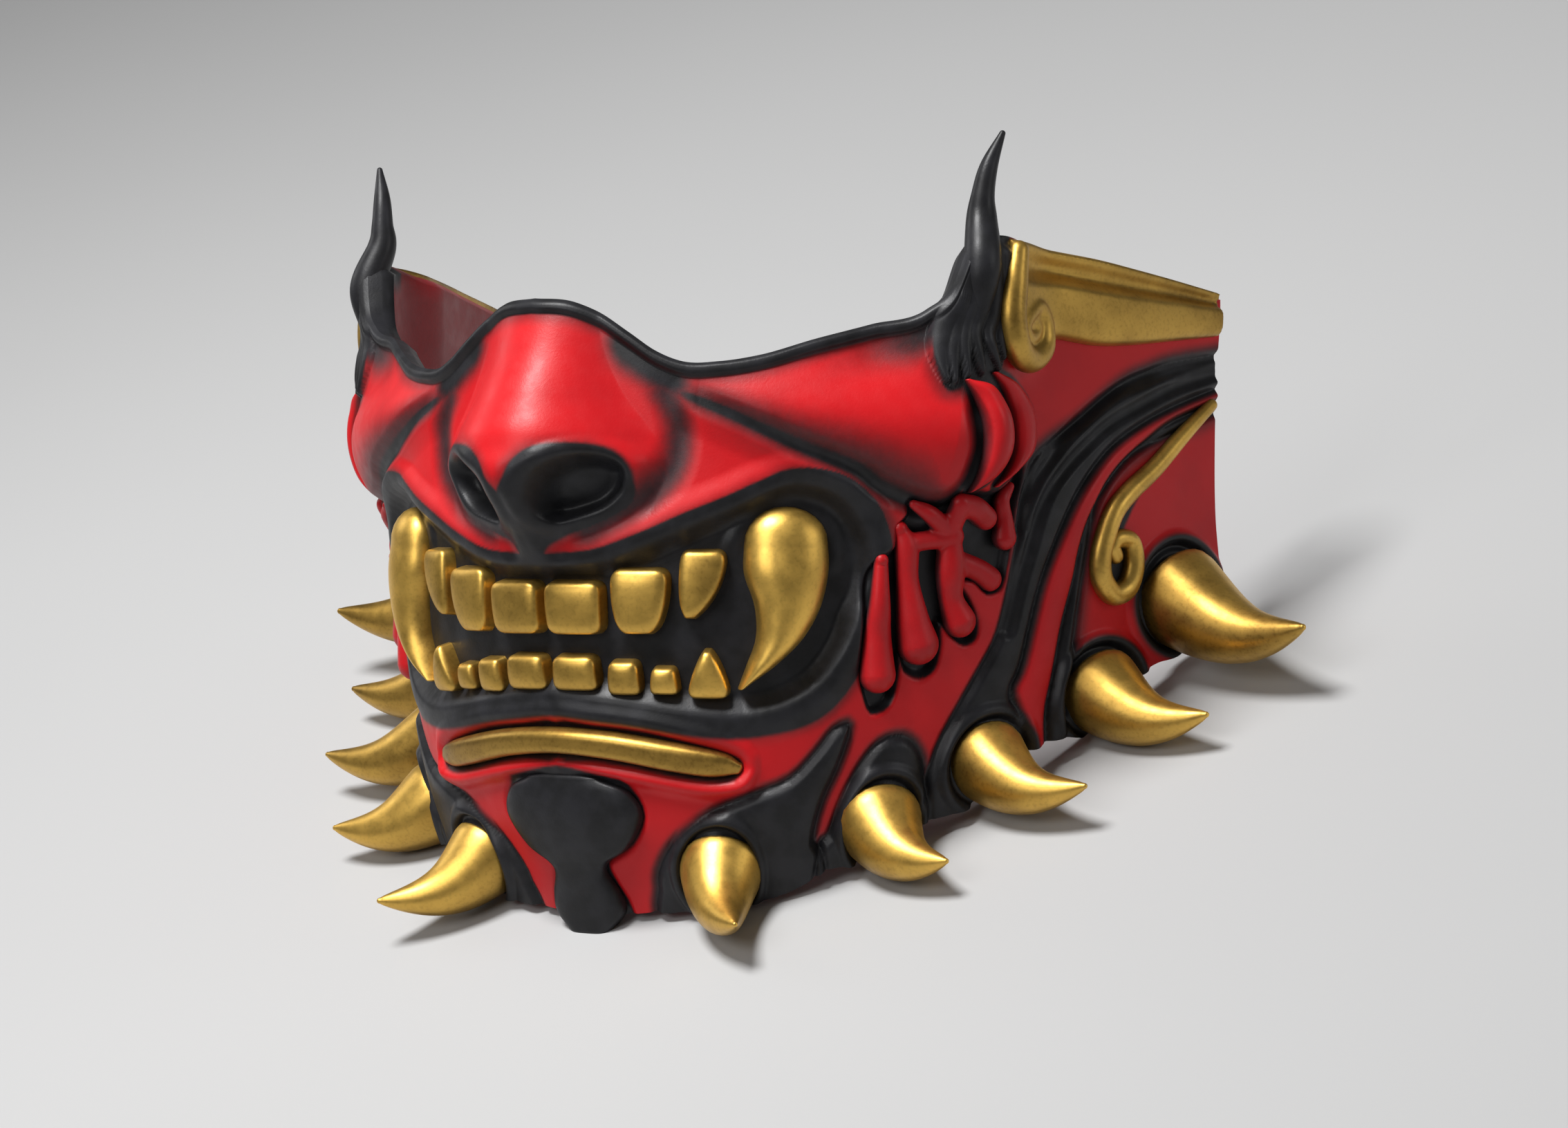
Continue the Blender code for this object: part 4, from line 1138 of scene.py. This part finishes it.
def make_pieces(paints):
    def finished(made, node, slot):
        least = [shade for start, shade in LEAST_SHADES.items() if node.startswith(start)]
        shade_edges(made.data, MOST_SHADES[slot], max(least, default=0.0))
        dress(made, node)

    def put(node, shape, slot):
        finished(outward(add_mesh(node + "_skin", *shape, paints[slot])), node, slot)

    def melt(node, shapes, slot):
        finished(melted(node + "_skin", shapes, paints[slot]), node, slot)

    def strip(rows, rise, side=1, **look):
        return strip_shape(sized(rows, rise), side, **look)

    def tube(rows, radius, side, **look):
        return lying_tube(sized(rows, radius), side, **look)

    bar = strip(LIP_BAR, BAR_SHARE * LIP_BAR_RISE, steps=80, around=26, roundness=3.6)
    put("lip_bar", bar, "gold_paint")
    pad = strip(CHIN_PAD, CHIN_PAD_RISE, steps=80, around=28, roundness=6.0, ends=(0.10, 0.05))
    put("chin_pad", pad, "black_lacquer")
    for name, side in SIDES.items():
        tusk = strip(TUSK[1:], TUSK_RISE, side, steps=72, around=26, roundness=2.0, ends=(0.85, 0.9))
        put("tusk_" + name, tusk, "gold_paint")
        for place, rows in CRESCENTS.items():
            crescent = strip(rows, CRESCENT_RISE, side, around=22, roundness=2.0)
            put(f"crescent_{place}_{name}", crescent, "red_lacquer")
        for kind, teeth, swell in (("upper", UPPER_TEETH, 2.8), ("lower", LOWER_TEETH, 1.7)):
            for k, row in enumerate(teeth):
                put(f"{kind}_tooth_{name}_{k + 1}", tooth_shape(row, side, swell), "gold_paint")
        for k, row in enumerate(SPIKES):
            put(f"jaw_spike_{name}_{k + 1}", spike_shape(row, side), "gold_paint")
        put("horn_" + name, horn_shape(side), "black_lacquer")
        tendril = tube(np.concatenate([TENDRIL, CURL_END]), TENDRIL_RADIUS, side, steps=110)
        put("gold_tendril_" + name, tendril, "gold_paint")
        put("front_drip_" + name, tube(DRIP, DRIP_SHARE * DRIP_RADIUS, side), "red_lacquer")
        put("rear_drip_" + name, tube(REAR_DRIP, DRIP_SHARE * DRIP_RADIUS, side), "red_lacquer")
        branches = [tube(rows, SINEW_SHARE * SINEW_RADIUS, side) for rows in SINEW_BRANCHES]
        melt("sinew_" + name, branches, "red_lacquer")
        look = {"steps": 96, "around": 48, "roundness": 6.0, "ends": (0.1, 0.03), "carved": 0.95}
        plate = strip(GOLD_BAND, BAND_SHARE * BAND_RISE, side, **look)
        coil = np.concatenate([VOLUTE, VOLUTE_HEART])
        spiral = tube(coil, COIL_SHARE * TENDRIL_RADIUS, side, steps=120, raised=COIL_LIFT)
        melt("gold_band_" + name, [plate, spiral], "gold_paint")


class Nodes:
    """Adds and joins the nodes of one material."""

    def __init__(self, name):
        self.material = bpy.data.materials.new(name)
        self.material.use_nodes = True
        self.tree = self.material.node_tree

    def feed(self, sockets, values):
        """Joins an output to each named socket, or sets a constant on it."""
        for key, value in values.items():
            if isinstance(value, bpy.types.NodeSocket):
                self.tree.links.new(value, sockets[key])
            else:
                sockets[key].default_value = (*value, 1) if isinstance(value, tuple) else value

    def add(self, kind, values, **settings):
        node = self.tree.nodes.new("ShaderNode" + kind)
        for key, value in settings.items():
            setattr(node, key, value)
        self.feed(node.inputs, values)
        return node

    def noise(self, scale, detail=2.0):
        place = self.add("TexCoord", {}).outputs["Object"]
        return self.add("TexNoise", {"Vector": place, "Scale": scale, "Detail": detail}).outputs["Fac"]

    def math(self, operation, first, second):
        return self.add("Math", {0: first, 1: second}, operation=operation).outputs[0]

    def mix(self, share, first, second):
        return self.add("Mix", {0: share, 6: first, 7: second}, data_type="RGBA").outputs[2]

    def remap(self, value, low, high, least=0.0, most=1.0):
        limits = {"Value": value, "From Min": low, "From Max": high, "To Min": least, "To Max": most}
        return self.add("MapRange", limits, interpolation_type="SMOOTHSTEP").outputs["Result"]

    def cloud(self, scale, low, high, least=0.0, most=1.0, detail=3.0):
        """Noise that is least below its level low and most above its level high."""
        return self.remap(self.noise(scale, detail), low, high, least, most)

    def grain(self, coarse, fine, strength, distance):
        """Pebbled bump from two sizes of noise, the finer one half as strong."""
        height = self.math("ADD", self.noise(coarse), self.math("MULTIPLY", self.noise(fine), 0.5))
        bump = self.add("Bump", {"Strength": strength, "Distance": distance, "Height": height})
        return bump.outputs["Normal"]

    def painted(self, **looks):
        """The material with these sockets of its shader set, spaces in their names written as _."""
        shader = self.tree.nodes["Principled BSDF"]
        self.feed(shader.inputs, {key.replace("_", " "): value for key, value in looks.items()})
        return self.material


def lacquer_paint(name, all_black=False):
    """Satin lacquer, red turned to black by the mesh's layer of black paint and painted shade, or black all
    over.
    """
    nodes = Nodes(name)
    colour = nodes.mix(nodes.cloud(160.0, 0.3, 0.7), BLACK, SOFT_BLACK)
    if not all_black:
        red = nodes.mix(nodes.cloud(45.0, 0.35, 0.70, most=0.4), RED, DEEP_RED)
        layer = nodes.add("Attribute", {}, attribute_name="black").outputs["Fac"]
        spray = nodes.math("MULTIPLY", nodes.math("SUBTRACT", nodes.noise(900.0), 0.5), 0.10)
        share = nodes.remap(nodes.math("ADD", layer, spray), 0.04, 0.92)
        colour = nodes.mix(share, red, colour)
    return nodes.painted(
        Base_Color=colour,
        Roughness=nodes.cloud(300.0, 0.3, 0.7, 0.36, 0.44),
        Specular_IOR_Level=LACQUER_SHEEN,
        Normal=nodes.grain(1500.0, 4200.0, strength=0.22, distance=0.00012),
    )


def gold_paint(name):
    """Satin gold, browned in slow clouds of its own and by the mesh's black layer, painted shade towards the
    edges and in hollows.
    """
    nodes = Nodes(name)
    cloud = nodes.cloud(60.0, 0.38, 0.72, most=0.35)
    fleck = nodes.cloud(1200.0, 0.45, 0.75, most=0.15, detail=2.0)
    layer = nodes.add("Attribute", {}, attribute_name="black").outputs["Fac"]
    share = nodes.math("ADD", layer, nodes.math("ADD", cloud, fleck))
    return nodes.painted(
        Base_Color=nodes.mix(share, GOLD, BROWN_GOLD),
        Metallic=0.9,
        Roughness=nodes.cloud(350.0, 0.3, 0.7, 0.36, 0.44),
        Normal=nodes.grain(1800.0, 5200.0, strength=0.10, distance=0.00010),
    )


def floor_paint(name):
    nodes = Nodes(name)
    return nodes.painted(Base_Color=nodes.mix(nodes.noise(3.0), FLOOR_GREY, FLOOR_PALE), Roughness=0.85)


def view_direction(bearing, rise):
    """From the mask towards the viewer, in the face's own frame."""
    flat = math.cos(rise)
    return Vector((math.sin(bearing) * flat, -math.cos(bearing) * flat, math.sin(rise)))


def aimed(place, target):
    """A turn and place that looks along -z from place to target, upright in the face's own frame."""
    back = (place - target).normalized()
    right = Vector((0, 0, 1)).cross(back).normalized()
    turn = Matrix((right, back.cross(right), back)).transposed().to_4x4()
    face_to_frame = Matrix.Translation(STAND) @ Matrix.Rotation(-LEAN, 4, "X")
    return face_to_frame @ Matrix.Translation(place) @ turn


def set_camera():
    data = bpy.data.cameras.new("view")
    data.lens = LENS
    data.sensor_width = SENSOR
    data.clip_start, data.clip_end = CLIP
    camera = placed("view", data)
    camera.matrix_world = aimed(LOOK_AT + view_direction(BEARING, RISE) * DISTANCE, LOOK_AT)
    bpy.context.scene.camera = camera


def set_lights():
    for name, (bearing, rise, distance, size, power) in LIGHTS.items():
        data = bpy.data.lights.new(name, "AREA")
        data.shape = "DISK"
        data.size = size
        data.energy = power
        place = LOOK_AT + view_direction(math.radians(bearing), math.radians(rise)) * distance
        placed(name, data).matrix_world = aimed(place, LOOK_AT)
    world = bpy.data.worlds.new("studio")
    world.use_nodes = True
    world.node_tree.nodes["Background"].inputs["Color"].default_value = ROOM_GREY
    world.node_tree.nodes["Background"].inputs["Strength"].default_value = ROOM_LIGHT
    bpy.context.scene.world = world
    bpy.context.scene.view_settings.view_transform = "Standard"


def make_floor(lines=9):
    ticks = np.linspace(-FLOOR_REACH, FLOOR_REACH, lines)
    data = bpy.data.meshes.new("floor")
    data.from_pydata([(x, y, 0.0) for y in ticks for x in ticks], [], grid_faces(lines, lines).tolist())
    data.materials.append(floor_paint("studio_floor"))
    placed("floor", data)


def main():
    paints = {
        "red_lacquer": lacquer_paint("painted_satin"),
        "black_lacquer": lacquer_paint("black_satin", all_black=True),
        "gold_paint": gold_paint("gold_satin"),
    }
    make_shell(paints["red_lacquer"])
    make_pieces(paints)
    make_floor()
    set_lights()
    set_camera()


main()
